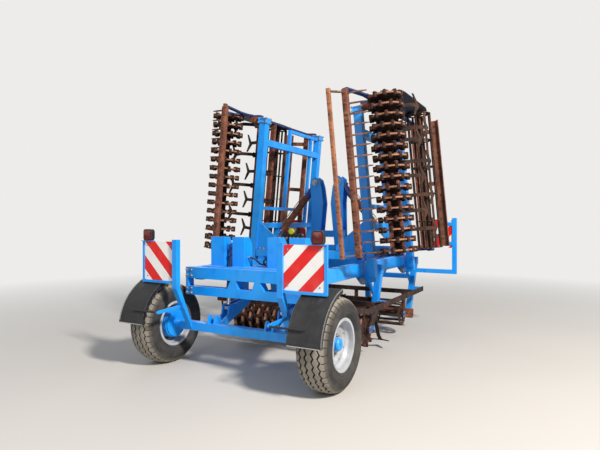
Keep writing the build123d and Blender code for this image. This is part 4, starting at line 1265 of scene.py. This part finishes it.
@dataclass
class WarningBoard:
    """A square sign of sheet aluminium with rounded corners, faced with striped film and bolted on."""

    finishes: Finishes
    corner: float = 0.022
    skin: float = 0.003
    bolt_inset: float = 0.045

    def build(self, name: str, node: str, side: Side, faces_rear: bool) -> None:
        """Make one board where its CAD solid stands, with film on both faces if it is a front board.

        Args:
            name: The piece's name.
            node: The CAD node that holds both boards.
            side: The side it is on.
            faces_rear: Whether the film looks to the rear.
        """
        low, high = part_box(node)
        tall = high.z - low.z
        x0, x1, z0, z1 = high.x - tall, high.x, low.z, high.z
        outline = rectangle((x0, z0), (x1, z1), self.corner, 6)
        forge = Forge(side.mirror)
        front, back = (low.y, high.y) if faces_rear else (high.y, low.y)
        way, behind, body = (1.0, 1, "axle") if faces_rear else (-1.0, 0, "frame")
        skin = way * self.skin
        levels = (front, front + skin, back - skin, back)
        for tone, near, far in zip((0, 1, behind), levels, levels[1:]):
            forge.tone = tone
            forge.loft([[(x, y, z) for x, z in outline] for y in (near, far)])
        board = forge.piece(side.of(name), body, "sign_film", self.finishes.film, self.finishes.sheet,
                            bevel=0.0008)
        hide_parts(node)
        bolts = Forge(side.mirror)
        inset = self.bolt_inset
        for x in (x0 + inset, x1 - inset):
            for z in (z0 + inset, z1 - inset):
                bolts.bolt((x, front, z), (0.0, -way, 0.0), 0.009)
        bolts.piece(side.of(name + "_bolts"), body, "sign_film", self.finishes.zinc)


@dataclass
class TailLamp:
    """A tail lamp: moulded housing, and a ribbed lens in its dark rim."""

    finishes: Finishes
    width_share: float = 118.0 / 125.0
    corner: float = 0.030
    draft: float = 0.88
    lens_depth: float = 0.010
    lens_corner: float = 0.022
    lens_margin: float = 0.011
    ribs: int = 13
    rib_depth: float = 0.0012

    def build(self, side: Side) -> None:
        """Make one lamp where its CAD solid stands.

        Args:
            side: The side it is on.
        """
        low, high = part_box("tail_lamps")
        x1, z0, z1 = high.x, low.z, high.z
        x0 = x1 - (z1 - z0) * self.width_share
        mid_x, mid_z = (x0 + x1) / 2, (z0 + z1) / 2
        rear, front = low.y, high.y
        lip, draft = rear + self.lens_depth, self.draft
        outline = rectangle((x0, z0), (x1, z1), self.corner, 5)

        def level(points: list, share: float, y: float) -> list:
            """A ring at one depth, drawn in towards the lamp's middle."""
            return [(mid_x + (x - mid_x) * share, y, mid_z + (z - mid_z) * share) for x, z in points]

        housing = Forge(side.mirror)
        housing.loft([level(outline, share, y) for share, y in (
            (draft, lip + 0.004), (draft, lip), (1.0, lip), (1.0, front - 0.012), (draft, front))])
        lamp = housing.piece(side.of("lamp_housing"), "axle", "lamp_plastic", self.finishes.housing,
                             bevel=0.0015)
        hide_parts("tail_lamps")
        m = self.lens_margin
        corners = rectangle((x0 + m, z0 + m), (x1 - m, z1 - m), self.lens_corner, 4)
        lens = Forge(side.mirror)
        lens.loft([level(corners, share, y) for share, y in (
            (1.0, lip + 0.002), (1.0, rear + 0.003), (0.975, rear + 0.0008), (0.93, rear))])
        inset, depth = m + 0.008, rear + self.rib_depth
        for k in range(self.ribs):
            z = z0 + inset + (z1 - z0 - 2 * inset) * k / (self.ribs - 1)
            lens.rod((x0 + inset, depth, z), (x1 - inset, depth, z), self.rib_depth, 6)
        lens.piece(side.of("lamp_lens"), "axle", "lamp_plastic", self.finishes.lens)


@dataclass
class Mudguard:
    """A moulded guard behind the wheel with deep side lips and two ribs that meet in a V."""

    finishes: Finishes
    radius: float = 0.545
    wall: float = 0.006
    width: float = 0.340
    front_angle: float = 99.0
    rear_angle: float = 172.0
    lip: float = 0.045
    recess: float = 0.005
    rib_starts: tuple = (0.30, 0.55)
    rib_reach: float = 0.42
    rib_share: float = 0.07
    edge_share: float = 0.09
    tail_at: float = 0.975
    tail_share: float = 0.02
    bead: float = 0.0045
    stations: int = 40
    columns: int = 34

    def height(self, across: float, along: float) -> float:
        """How far the skin lies below the guard's outer radius.

        Args:
            across: From -1 at the inner edge to 1 at the outer one.
            along: From 0 at the front to 1 at the lower end.

        Returns:
            The distance in metres.
        """
        centre = abs(across)
        rib = 0.0
        for start in self.rib_starts:
            if along < self.rib_reach:
                at = start * (1.0 - 0.75 * along / self.rib_reach)
                rib = max(rib, 1.0 - abs(centre - at) / self.rib_share)
        edge = max(0.0, 1.0 - (1.0 - centre) / self.edge_share)
        tail = max(0.0, 1.0 - abs(along - self.tail_at) / self.tail_share)
        return self.recess * (1.0 - min(1.0, max(rib, edge, tail)))

    def point(self, x: float, radius: float, along: float) -> Vector:
        """A point at a radius about the axle, from 0 at the guard's front to 1 at its lower end."""
        turn = math.radians(self.front_angle + (self.rear_angle - self.front_angle) * along)
        return Vector((0.0, AXLE.y, AXLE.z)) + Vector(polar(x, radius, turn))

    def beads(self, middle: float) -> list[list[Vector]]:
        """The middle lines of the beads that carry the painted highlight, along the outer edge and the lower
        one.

        Args:
            middle: The middle of the guard's width.

        Returns:
            One line for each bead.
        """
        x, radius = middle + self.width / 2 - self.bead, self.radius - self.bead - 0.001
        outer = [self.point(x, radius, i / self.stations) for i in range(self.stations + 1)]
        lower = [outer[-1] - Vector((self.width - 2 * self.bead, 0.0, 0.0)), outer[-1]]
        return [outer, lower]

    def build(self, side: Side) -> None:
        """Make one guard over the middle of its wheel.

        Args:
            side: The side it is on.
        """
        middle = abs(AXLE.x)
        forge = Forge(side.mirror)
        rings = []
        for i in range(self.stations + 1):
            along = i / self.stations
            outer, inner = [], []
            for k in range(self.columns + 1):
                across = 2.0 * k / self.columns - 1.0
                sink = self.height(across, along)
                lip = self.lip if k in (0, self.columns) else 0.0
                x = middle + across * self.width / 2
                outer.append((x, self.radius - sink))
                shift = self.wall * (1 if k == 0 else -1) if lip else 0.0
                inner.append((x + shift, self.radius - sink - max(self.wall, lip)))
            rings.append([self.point(x, r, along) for x, r in outer + inner[::-1]])
        forge.loft(rings)
        # The beads take the light grey finish, a painted highlight.
        forge.tone = 1
        for bead in self.beads(middle):
            forge.tube(bead, self.bead, 8)
        guard = forge.piece(side.of("mudguard_moulding"), "axle", "guard_plastic", self.finishes.guard,
                            self.finishes.guard_bead_highlight, crease=50.0)
        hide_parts("mudguards")


# Tool sections

@dataclass
class ToolSection:
    """One section's scraper comb, bearings and tine clamps, in the section's own frame."""

    finishes: Finishes
    name: str
    body: str
    span: RollerSpan
    place: Matrix
    tine_rows: tuple
    with_guard: bool
    rail_depth: float = 0.330
    bar_half: float = 0.030
    tine_thickness: float = 0.014
    clamp_half: tuple = (0.034, 0.042)
    clamp_plate: float = 0.008
    comb_at: tuple = (0.800, -0.247)
    comb_half: float = 0.032
    finger: float = 0.017
    finger_length: float = 0.200
    finger_rake: float = 0.055
    guard_at: tuple = (0.640, -0.120)
    guard_half: float = 0.021
    pitch: float = 0.118
    bearings: tuple = ((1.260, -0.545), (2.550, -0.570))
    bearing_bolts: float = 0.040
    end_plate: float = 0.008
    end_room: float = 0.060

    def stations(self) -> list[float]:
        """Places across the section of the rings' gaps, where the fingers stand."""
        first, last = self.span.clear
        return self.span.spread(last - first - self.end_room, self.pitch)

    def build_comb(self) -> None:
        """Make the comb's tube with its bolted fingers, and the guard bar with its pegs."""
        first, last = self.span.clear
        forge = Forge(self.place)
        forge.bar(square(self.comb_at, self.comb_half, 0.007), first, last)
        for x in self.stations():
            self.build_finger(forge, x)
        if self.with_guard:
            forge.tone = 1
            self.build_guard(forge, first, last)
        # The right side's guard bar takes the copy of the rust with painted sunlight; the left one takes
        # plain rust.
        sunny = self.finishes.sunlit_rust if self.name == Side.RIGHT.value else self.finishes.rust
        comb = forge.piece(f"scraper_comb_{self.name}", self.body, "rust_steel", self.finishes.rust, sunny,
                           self.finishes.fingers)
        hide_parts(f"comb_{self.name}")

    def build_finger(self, forge: Forge, x: float) -> None:
        """Add one finger that leans forward between two rings, and the lug that holds it.

        Args:
            forge: The mesh it goes to.
            x: Its place along the comb.
        """
        y, z = self.comb_at
        half, low = self.finger / 2, z - self.comb_half
        path = ((y + 0.010, low + 0.008), (y + 0.016, low - 0.05), (y + 0.040, low - 0.14),
                (y + self.finger_rake, low - self.finger_length))
        rings = []
        for k, (py, pz) in enumerate(path):
            slim = 1.0 if k < len(path) - 1 else 0.55
            rings.append([(x - half * slim, py - half, pz), (x + half * slim, py - half, pz),
                          (x + half * slim, py + half, pz), (x - half * slim, py + half, pz)])
        forge.tone = 2
        forge.loft(rings)
        forge.tone = 0
        face = y - self.comb_half
        forge.box((x - 0.016, face - 0.005, z - 0.027), (x + 0.016, face + 0.001, z + 0.027))
        forge.bolt((x, face - 0.005, z), (0.0, -1.0, 0.0), 0.017)

    def build_guard(self, forge: Forge, first: float, last: float) -> None:
        """Add the guard bar, its two holders and a threaded peg at each finger.

        Args:
            forge: The mesh it goes to.
            first: Where the bar starts.
            last: Where the bar ends.
        """
        y, z = self.guard_at
        forge.bar(square(self.guard_at, self.guard_half, 0.005), first, last)
        cy, cz = self.comb_at
        run = Vector((0.0, cy - y, cz - z)).normalized()
        side, thick = Vector((0.0, -run.z, run.y)) * 0.017, Vector((0.008, 0.0, 0.0))
        forge.tone = 2
        for x in (first + 0.030, last - 0.030):
            forge.loft([[at + side - thick, at + side + thick, at - side + thick, at - side - thick]
                        for at in (Vector((x, y, z)), Vector((x, cy, cz)))])
        forge.tone = 1
        for x in self.stations():
            forge.bolt((x, y - self.guard_half, z), (0.0, -1.0, 0.0), 0.017, 0.010)

    def build_clamps(self) -> None:
        """Make the clamps that hold each tine under its bar: two plates, four studs, eight nuts."""
        forge = Forge(self.place)
        top = -self.rail_depth + self.bar_half
        low = -self.rail_depth - self.bar_half - self.tine_thickness
        across, along = self.clamp_half
        plate = self.clamp_plate
        for bar_y, places in self.tine_rows:
            for x in places:
                forge.box((x - across, bar_y - along, top), (x + across, bar_y + along, top + plate))
                forge.box((x - across, bar_y - along, low - plate), (x + across, bar_y + along, low))
                for dx in (-1, 1):
                    for dy in (-1, 1):
                        at = (x + dx * (across - 0.008), bar_y + dy * (along - 0.005))
                        forge.rod((*at, low - plate - 0.014), (*at, top + plate + 0.014), 0.0045, 8)
                        forge.bolt((*at, top + plate), (0.0, 0.0, 1.0), 0.014)
                        forge.bolt((*at, low - plate), (0.0, 0.0, -1.0), 0.014)
        forge.piece(f"tine_clamps_{self.name}", self.body, "tine_steel", self.finishes.spring)

    def build_bearings(self) -> None:
        """Make the rollers' flanged bearings on both side plates, and their bolts."""
        flanges, bolts = Forge(self.place), Forge(self.place)
        for k, (y, z) in enumerate(self.bearings):
            cover = self.end_plate if k and self.with_guard else 0.0
            for face, way in ((self.span.inner, -1.0), (self.span.outer + cover, 1.0)):
                lie = Matrix.Translation((face, y, z)) @ Matrix.Diagonal((way, 1.0, 1.0, 1.0))
                flanges.turned([(0.0, 0.0), (0.0, 0.048), (0.004, 0.048), (0.006, 0.034), (0.009, 0.030),
                                (0.010, 0.024), (0.010, 0.0)], 28, lie)
                for turn in range(4):
                    x, dy, dz = polar(face + way * 0.004, self.bearing_bolts, math.tau * (turn + 0.5) / 4)
                    bolts.bolt((x, y + dy, z + dz), (way, 0.0, 0.0), 0.012)
        flanges.piece(f"roller_bearings_{self.name}", self.body, "paint_navy", self.finishes.navy)
        bolts.piece(f"bearing_bolts_{self.name}", self.body, "zinc_steel", self.finishes.zinc)

    def build(self) -> None:
        """Make all small parts of the section."""
        self.build_comb()
        self.build_clamps()
        self.build_bearings()


@dataclass
class WingHardware:
    """The clamps, bolts and pin nuts of one wing, drawn for the right one."""

    finishes: Finishes
    side: Side
    beams: tuple = (1.500, 3.100)
    beam_half: float = 0.050
    top: float = -0.060
    low: float = -0.160
    hangers: tuple = ((0.286, 0.346), (2.090, 2.150))
    flange: float = 0.016
    overlap: float = 0.018
    plate: float = 0.012
    row_start: float = 0.560
    row_pitch: float = 0.118
    row_bolts: int = 12
    fold_pin: tuple = (0.470, 2.100, -0.134)
    fold_pin_half: float = 0.067
    shield_bolts: tuple = (1.50, 1.86, 2.22, 2.54)
    shield_face: float = 2.194
    rail_depth: float = 0.330

    def build(self) -> None:
        """Make the flange plates under the beams and the bolts of the wing."""
        place = self.side.mirror @ wing_place()
        body = self.side.of("wing")
        plates, bolts = Forge(place), Forge(place)
        for beam in self.beams:
            for k, (start, end) in enumerate(self.hangers):
                y0, y1 = beam - self.beam_half - self.flange, beam + self.beam_half + self.flange
                plates.box((start - self.overlap, y0, self.low - self.plate), (end, y1, self.low))
                corners = [(x, y) for x in (start - 0.006, end - 0.012) for y in (y0 + 0.009, y1 - 0.009)]
                for x, y in corners:
                    bolts.bolt((x, y, self.low - self.plate), (0.0, 0.0, -1.0), 0.018, 0.006)
                if k:
                    plates.box((start - self.overlap, y0, self.top), (end, y1, self.top + self.plate))
                    for x, y in corners:
                        bolts.rod((x, y, self.low), (x, y, self.top), 0.006, 8)
                        bolts.bolt((x, y, self.top + self.plate), (0.0, 0.0, 1.0), 0.018, 0.006)
            for k in range(self.row_bolts):
                bolts.bolt((self.row_start + k * self.row_pitch, beam, self.low), (0.0, 0.0, -1.0), 0.024)
        x, y, z = self.fold_pin
        for way in (-1.0, 1.0):
            bolts.bolt((x, y + way * self.fold_pin_half, z), (0.0, way, 0.0), 0.040)
        for y in self.shield_bolts:
            bolts.bolt((self.shield_face, y, -self.rail_depth), (1.0, 0.0, 0.0), 0.018)
        plates.piece(self.side.of("wing_clamp_plates"), body, "paint_blue", self.finishes.azure, bevel=0.001)
        bolts.piece(self.side.of("wing_bolts"), body, "zinc_steel", self.finishes.zinc)


# Centre frame, hydraulics and axle

@dataclass
class FrameHardware:
    """Pin nuts and bolts of the centre frame, the same on both sides."""

    finishes: Finishes
    hinges: tuple = (1.500, 3.100)
    hinge_half: float = 0.075
    cross_top: float = 1.220
    tower_pin: tuple = (0.180, 2.100, 2.150)
    tower_pin_half: float = 0.088
    cross_bolts: tuple = (0.692, 0.748)
    rear_face: float = 0.070
    rear_bolts: tuple = ((0.805, 0.735), (0.792, 0.843, 0.985, 1.050))
    bracket_face: float = 0.784
    bracket_bolts: tuple = ((3.272, 3.338), (0.842, 0.905, 1.035))
    hitch_pin: tuple = (0.0, 4.050, 0.738)
    sleeve_at: tuple = (3.560, 0.990)
    sleeve_half: float = 0.0523

    def build_side(self, forge: Forge) -> None:
        """Add one side's bolts and nuts.

        Args:
            forge: The mesh they go to, which mirrors them where needed.
        """
        for y in self.hinges:
            for way in (-1.0, 1.0):
                forge.bolt((HINGE.x, ahead(y) + way * self.hinge_half, HINGE.z), (0.0, way, 0.0), 0.040)
                for x in self.cross_bolts:
                    forge.bolt((x, ahead(y) + way * 0.034, self.cross_top), (0.0, 0.0, 1.0), 0.024, 0.006)
        x, y, z = self.tower_pin
        for way in (-1.0, 1.0):
            forge.bolt((x, ahead(y) + way * self.tower_pin_half, z), (0.0, way, 0.0), 0.044)
        columns, rows = self.rear_bolts
        for z in rows:
            for x in columns:
                forge.bolt((x, ahead(self.rear_face), z), (0.0, -1.0, 0.0), 0.020)
        columns, rows = self.bracket_bolts
        for y in columns:
            for z in rows:
                forge.bolt((self.bracket_face, ahead(y), z), (1.0, 0.0, 0.0), 0.022)

    def build(self) -> None:
        """Make the bolts of both sides, the hitch pin's nut and the leg's locking pin."""
        forge = Forge()
        for side in Side:
            forge.place = side.mirror
            self.build_side(forge)
        forge.place = Matrix.Identity(4)
        x, y, z = self.hitch_pin
        forge.bolt((x, ahead(y), z), (0.0, 0.0, 1.0), 0.046)
        (y, z), half = self.sleeve_at, self.sleeve_half
        face = ahead(y + half - 0.001)
        for way in (-1.0, 1.0):
            forge.rod((way * half, face, z), (way * (half + 0.026), face, z), 0.009)
        forge.piece("frame_bolts", "frame", "zinc_steel", self.finishes.zinc)


@dataclass
class Hydraulics:
    """Hoses over the deck with their fittings, the valve block's small parts, and the cylinders' pipes."""

    finishes: Finishes
    diameter: float = 0.018
    left_length: float = 1.234
    right_length: float = 1.251
    left_route: tuple = (
        (-0.126, 0.350, 1.190), (-0.088, 0.352, 1.188), (-0.052, 0.368, 1.160), (-0.036, 0.402, 1.124),
        (-0.040, 0.452, 1.106), (-0.062, 0.524, 1.100), (-0.092, 0.612, 1.104), (-0.124, 0.716, 1.114),
        (-0.150, 0.832, 1.126), (-0.166, 0.952, 1.140), (-0.170, 1.068, 1.160), (-0.164, 1.178, 1.190),
        (-0.156, 1.274, 1.228), (-0.150, 1.352, 1.272), (-0.149, 1.412, 1.326), (-0.149, 1.434, 1.332))
    right_route: tuple = (
        (0.126, 0.330, 1.190), (0.090, 0.328, 1.186), (0.058, 0.340, 1.154), (0.044, 0.372, 1.118),
        (0.034, 0.424, 1.103), (0.008, 0.496, 1.099), (-0.018, 0.590, 1.103), (-0.032, 0.700, 1.118),
        (-0.034, 0.824, 1.134), (-0.040, 0.950, 1.150), (-0.054, 1.072, 1.170), (-0.072, 1.182, 1.198),
        (-0.088, 1.278, 1.234), (-0.096, 1.354, 1.276), (-0.095, 1.412, 1.326), (-0.093, 1.434, 1.332))
    fitting_length: float = 0.026
    block_face: float = 1.460
    block_low: float = 1.232
    block_height: float = 0.200
    section_width: float = 0.052
    section_pitch: float = 0.056
    sections: int = 5
    block_outer: float = -0.371
    coil: float = 0.019
    coil_rows: tuple = (0.3, 0.72)
    coil_length: float = 0.046
    filter_at: tuple = (-0.233, 1.456, 1.464)
    filter_radius: float = 0.040
    filter_neck: float = 0.024
    fold_eye: tuple = (0.86960, 1.35045)
    fold_ports: tuple = (0.160, 0.815)

    def build_hose(self, side: Side, route: tuple) -> None:
        """Make one hose with the fittings at its two ends.

        Args:
            side: The side that it starts on.
            route: Its control points, with Y ahead of the axle.
        """
        curve = bpy.data.curves.new(side.of("deck_hose"), "CURVE")
        curve.dimensions = "3D"
        curve.bevel_depth = self.diameter / 2
        curve.bevel_resolution = 4
        curve.resolution_u = 10
        line = curve.splines.new("NURBS")
        line.points.add(len(route) - 1)
        for point, (x, y, z) in zip(line.points, route):
            point.co = (x, ahead(y), z, 1.0)
        line.order_u = 3
        line.use_endpoint_u = True
        curve.materials.append(self.finishes.hose)
        hose = add_object(side.of("deck_hose"), curve)
        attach(hose, "frame")
        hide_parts(side.of("hose"))
        forge = Forge()
        outward = 1.0 if side is Side.RIGHT else -1.0
        wide, slim = 0.0125, 0.0115
        for (x, y, z), way in ((route[0], (outward, 0.0, 0.0)), (route[-1], (0.0, 1.0, 0.0))):
            lie = facing((x, ahead(y), z), way)
            sleeve = [(0.0, 0.0), (0.0, wide), (0.003, wide), (0.004, slim), (0.006, slim), (0.007, wide),
                      (0.009, wide), (0.010, slim), (0.012, slim), (0.013, 0.0)]
            forge.turned(sleeve, 20, lie)
            nut = [(0.0125, 0.0), (0.0125, 0.0135), (0.0245, 0.0135), (self.fitting_length, 0.012),
                   (self.fitting_length, 0.0)]
            forge.turned(nut, 6, lie)
        fitting = forge.piece(side.of("hose_end_fittings"), "frame", "zinc_steel", self.finishes.zinc)
        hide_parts("hose_fittings")
        x, y, z = route[0]

    def build_valves(self) -> None:
        """Make the coils' nuts, plugs and the tie rods of the valve block, and the filter's cap."""
        zinc, plugs = Forge(), Forge()
        face = ahead(self.block_face)
        for k in range(self.sections):
            x = self.block_outer + k * self.section_pitch + self.section_width / 2
            for share in self.coil_rows:
                z = self.block_low + share * self.block_height
                end, top = face - self.coil_length, z + self.coil
                zinc.bolt((x, end, z), (0.0, -1.0, 0.0), 0.018)
                plugs.box((x - 0.011, end + 0.008, top - 0.003), (x + 0.011, end + 0.036, top + 0.016))
                plugs.rod((x, end + 0.022, top + 0.014), (x, end + 0.022, top + 0.026), 0.005, 10)
        inner = self.block_outer + (self.sections - 1) * self.section_pitch + self.section_width
        for z in (self.block_low + 0.012, self.block_low + self.block_height - 0.014):
            for x, way in ((self.block_outer, -1.0), (inner, 1.0)):
                zinc.bolt((x, face + 0.040, z), (way, 0.0, 0.0), 0.016, 0.006)
        zinc.piece("valve_nuts", "frame", "zinc_steel", self.finishes.zinc)
        x, y, z = self.filter_at
        plugs.rod((x, ahead(y) - 0.002, z), (x, ahead(y) + 0.044, z), self.filter_neck, 24)
        plugs.piece("valve_plugs", "frame", "valve_black", self.finishes.enamel, bevel=0.001)
        cap = Forge(Matrix.Translation((x, ahead(y), z)) @ Matrix.Rotation(math.radians(-90.0), 4, "Z"))
        r = self.filter_radius
        cap.turned([(0.0, 0.0), (0.0, r), (0.003, r + 0.002), (0.019, r + 0.002), (0.022, r),
                    (0.026, r - 0.004), (0.028, r - 0.013), (0.0285, 0.0)], 40)
        cap.piece("filter_cap", "frame", "valve_black", self.finishes.cap)

    def build_cylinder(self, side: Side) -> None:
        """Make the gland, the end band and the pressure pipe of one fold cylinder.

        Args:
            side: The side it is on.
        """
        top = joint_place("fold_barrel_tilt_right")
        low = Vector((self.fold_eye[0], top.y, self.fold_eye[1]))
        along = (low - top).normalized()
        out = Vector((0.0, 1.0, 0.0)).cross(along) * -1.0
        lie = Matrix((along, Vector((0.0, 1.0, 0.0)), out)).transposed().to_4x4()
        place = side.mirror @ Matrix.Translation(top) @ lie
        forge = Forge(place)
        forge.turned([(0.836, 0.044), (0.836, 0.0505), (0.868, 0.0505), (0.872, 0.046), (0.872, 0.028),
                      (0.868, 0.028)], 32)
        forge.turned([(0.112, 0.044), (0.112, 0.050), (0.132, 0.050), (0.132, 0.044)], 32)
        for x in self.fold_ports:
            forge.rod((x, 0.0, 0.040), (x, 0.0, 0.062), 0.011, 12)
        body = side.of("fold_barrel")
        forge.piece(side.of("cylinder_gland"), body, "cylinder_blue", self.finishes.navy)
        pipe = Forge(place)
        pipe.tube([Vector((x, 0.0, z)) for x, z in (
            (0.815, 0.058), (0.812, 0.066), (0.804, 0.070), (0.200, 0.070), (0.190, 0.069))], 0.006, 10)
        nut = [(0.184, 0.0), (0.184, 0.010), (0.204, 0.010), (0.204, 0.0)]
        pipe.turned(nut, 6, Matrix.Translation((0, 0, 0.070)))
        pipe.piece(side.of("cylinder_pipe"), body, "zinc_steel", self.finishes.zinc)

    def build(self) -> None:
        """Make both hoses, the valves' parts and the cylinders' parts."""
        self.build_hose(Side.LEFT, self.left_route)
        self.build_hose(Side.RIGHT, self.right_route)
        self.build_valves()
        for side in Side:
            self.build_cylinder(side)


# The studio

@dataclass
class Studio:
    """A pale floor under soft light, and the camera at the photograph's place."""

    eye: tuple = (3.044, -6.030, 1.582)
    tilt: float = -0.285
    heading: float = 29.34
    lens: float = 29.41
    floor_radius: float = 90.0
    floor_sides: int = 64
    floor: str = "#C3C1BD"
    floor_patches: str = "#BAB8B4"
    wall: str = "#EDECEA"

    def build_camera(self) -> None:
        """Place the camera."""
        data = bpy.data.cameras.new("camera")
        data.lens = self.lens
        data.sensor_width = 36.0
        data.clip_end = 500.0
        camera = add_object("camera", data)
        camera.location = self.eye
        camera.rotation_euler = (math.radians(90.0 + self.tilt), 0.0, math.radians(self.heading))
        bpy.context.scene.camera = camera

    def build_light(self, name: str, at: tuple, size: float, power: float, colour: str) -> None:
        """Hang one soft lamp that looks at the machine's middle.

        Args:
            name: The lamp's name.
            at: Where it hangs.
            size: Side of its square face.
            power: Its power in watts.
            colour: Its sRGB colour.
        """
        data = bpy.data.lights.new(name, "AREA")
        data.shape = "SQUARE"
        data.size = size
        data.energy = power
        data.color = linear(colour)[:3]
        lamp = add_object(name, data)
        lamp.location = at
        aim = Vector((0.0, 0.0, 1.2)) - Vector(at)
        lamp.rotation_euler = aim.to_track_quat("-Z", "Y").to_euler()

    def build_world(self) -> None:
        """Make a pale background that lights the shaded sides softly."""
        world = bpy.data.worlds.new("studio")
        bpy.context.scene.world = world
        world.use_nodes = True
        tree = world.node_tree
        tree.nodes.clear()
        path = add_node(tree, "LightPath")
        seen = add_node(tree, "Math", {0: path.outputs["Is Camera Ray"], 1: path.outputs["Is Glossy Ray"]},
                        operation="MAXIMUM")
        light = add_node(tree, "Background", {"Color": linear("#F4F6FA"), "Strength": 0.34})
        wall = add_node(tree, "Background", {"Color": linear(self.wall), "Strength": 1.0})
        both = add_node(tree, "MixShader", {0: seen.outputs[0], 1: light.outputs[0], 2: wall.outputs[0]})
        add_node(tree, "OutputWorld", {"Surface": both.outputs[0]})

    def build_floor(self) -> None:
        """Lay the floor, which fades into the background far away."""
        mesh = bpy.data.meshes.new("floor")
        sides = range(self.floor_sides)
        edge = [polar(0.0, self.floor_radius, math.tau * k / self.floor_sides) for k in sides]
        mesh.from_pydata([(x, y, 0.0) for _, x, y in edge], [], [tuple(sides)])
        floor = add_object("floor", mesh)
        coat = Coating("smooth_screed", self.floor, 0.9, Specular_IOR_Level=0.2)
        coat.lay(coat.patches(1.6, 0.3, 0.8, 3.0, 0.3), self.floor_patches)
        mesh.materials.append(coat.done())
        reach = add_node(coat.tree, "VectorMath", {0: coat.coords.outputs["Object"]}, operation="LENGTH")
        far = add_node(coat.tree, "MapRange", {"Value": reach.outputs["Value"], "From Min": 3.0,
                                               "From Max": 10.0})
        path = add_node(coat.tree, "LightPath")
        seen = add_node(coat.tree, "Math", {0: far.outputs[0], 1: path.outputs["Is Camera Ray"]},
                        operation="MULTIPLY")
        glow = add_node(coat.tree, "Emission", {"Color": linear(self.wall), "Strength": 1.0})
        both = add_node(coat.tree, "MixShader", {0: seen.outputs[0], 1: coat.shader.outputs[0],
                                                 2: glow.outputs[0]})
        output = next(node for node in coat.tree.nodes if node.type == "OUTPUT_MATERIAL")
        coat.tree.links.new(both.outputs[0], output.inputs["Surface"])

    def build(self) -> None:
        """Make camera, lamps, background and floor."""
        bpy.context.scene.view_settings.view_transform = "Standard"
        self.build_camera()
        self.build_light("key_lamp", (9.0, -5.2, 8.4), 1.4, 2300.0, "#FFF7EE")
        self.build_light("rear_lamp", (-1.0, -9.0, 5.0), 6.0, 130.0, "#F2F6FF")
        self.build_light("left_lamp", (-7.0, 5.0, 6.0), 6.0, 200.0, "#EAF1FF")
        self.build_world()
        self.build_floor()


def dress_frame(finishes: Finishes) -> None:
    """Give each CAD node that stays its finish.

    Args:
        finishes: The machine's finishes.
    """
    sides = [side.value for side in Side]
    dress(finishes.azure, "main_frame", "rear_frame", "ram_deck", "tower", "tower_core", "drawbar",
          "hitch_yoke", "parking_leg", "front_brackets", "drop_legs", "axle_beam")
    dress(finishes.posts, "sign_posts")
    dress(finishes.azure, *[f"wing_frame_{side}" for side in sides])
    dress(finishes.section, *[f"section_{side}" for side in sides])
    # The centre section's dark rusted steel carries painted shade.
    dress(finishes.worn, "section_centre")
    dress(finishes.rust, *[f"level_board_{side}" for side in (*sides, "centre")])
    dress(finishes.spring, *[f"tines_{side}" for side in (*sides, "centre")])
    dress(finishes.shield, *[f"end_plate_{side}" for side in sides])
    dress(finishes.enamel, "valve_block")
    dress(finishes.barrels, *[f"fold_barrel_{side}" for side in sides])
    dress(finishes.navy, *[f"axle_barrel_{side}" for side in sides])
    dress(finishes.chrome, *[f"{stem}_rod_{side}" for stem in ("fold", "axle") for side in sides])


def clear_defaults() -> None:
    """Remove what an empty Blender file starts with."""
    for name in ("Cube", "Light", "Camera"):
        if name in bpy.data.objects:
            bpy.data.objects.remove(bpy.data.objects[name])


def build_section(section: ToolSection) -> None:
    """Build a section's two rollers and its small parts."""
    for kind in (RingRoller, CageRoller):
        kind(section.finishes).build(section.name, section.span, section.place)
    section.build()


def build_centre(finishes: Finishes) -> None:
    """Build the centre section."""
    rows = ((1.720, (-0.900, -0.430, 0.0, 0.430, 0.900)), (2.080, (-0.645, -0.215, 0.215, 0.645)))
    span = RollerSpan(-0.950, 0.950)
    build_section(ToolSection(finishes, "centre", "frame", span, centre_place(), rows, False))


def build_wing(finishes: Finishes, side: Side) -> None:
    """Build the section and the hardware of one wing.

    Args:
        finishes: The machine's finishes.
        side: The side it is on.
    """
    rows = ((1.720, (0.800, 1.220, 1.660, 2.080)), (2.080, (0.580, 1.010, 1.440, 1.870)))
    span, place = RollerSpan(0.286, 2.186), side.mirror @ wing_place()
    build_section(ToolSection(finishes, side.value, side.of("wing"), span, place, rows, True))
    WingHardware(finishes, side).build()


def main() -> None:
    """Build the studio, the hoses, the finishes and every piece, in order."""
    logging.basicConfig(level=logging.INFO, format="%(message)s")
    clear_defaults()
    Studio().build()
    finishes = Finishes()
    Hydraulics(finishes).build()
    dress_frame(finishes)
    FrameHardware(finishes).build()
    build_centre(finishes)
    for side in Side:
        build_wing(finishes, side)
        TransportWheel(side, finishes).build()
        WarningBoard(finishes).build("rear_board", "rear_signs", side, True)
        WarningBoard(finishes).build("front_board", "front_signs", side, False)
        TailLamp(finishes).build(side)
        Mudguard(finishes).build(side)


if __name__ == "__main__":
    main()
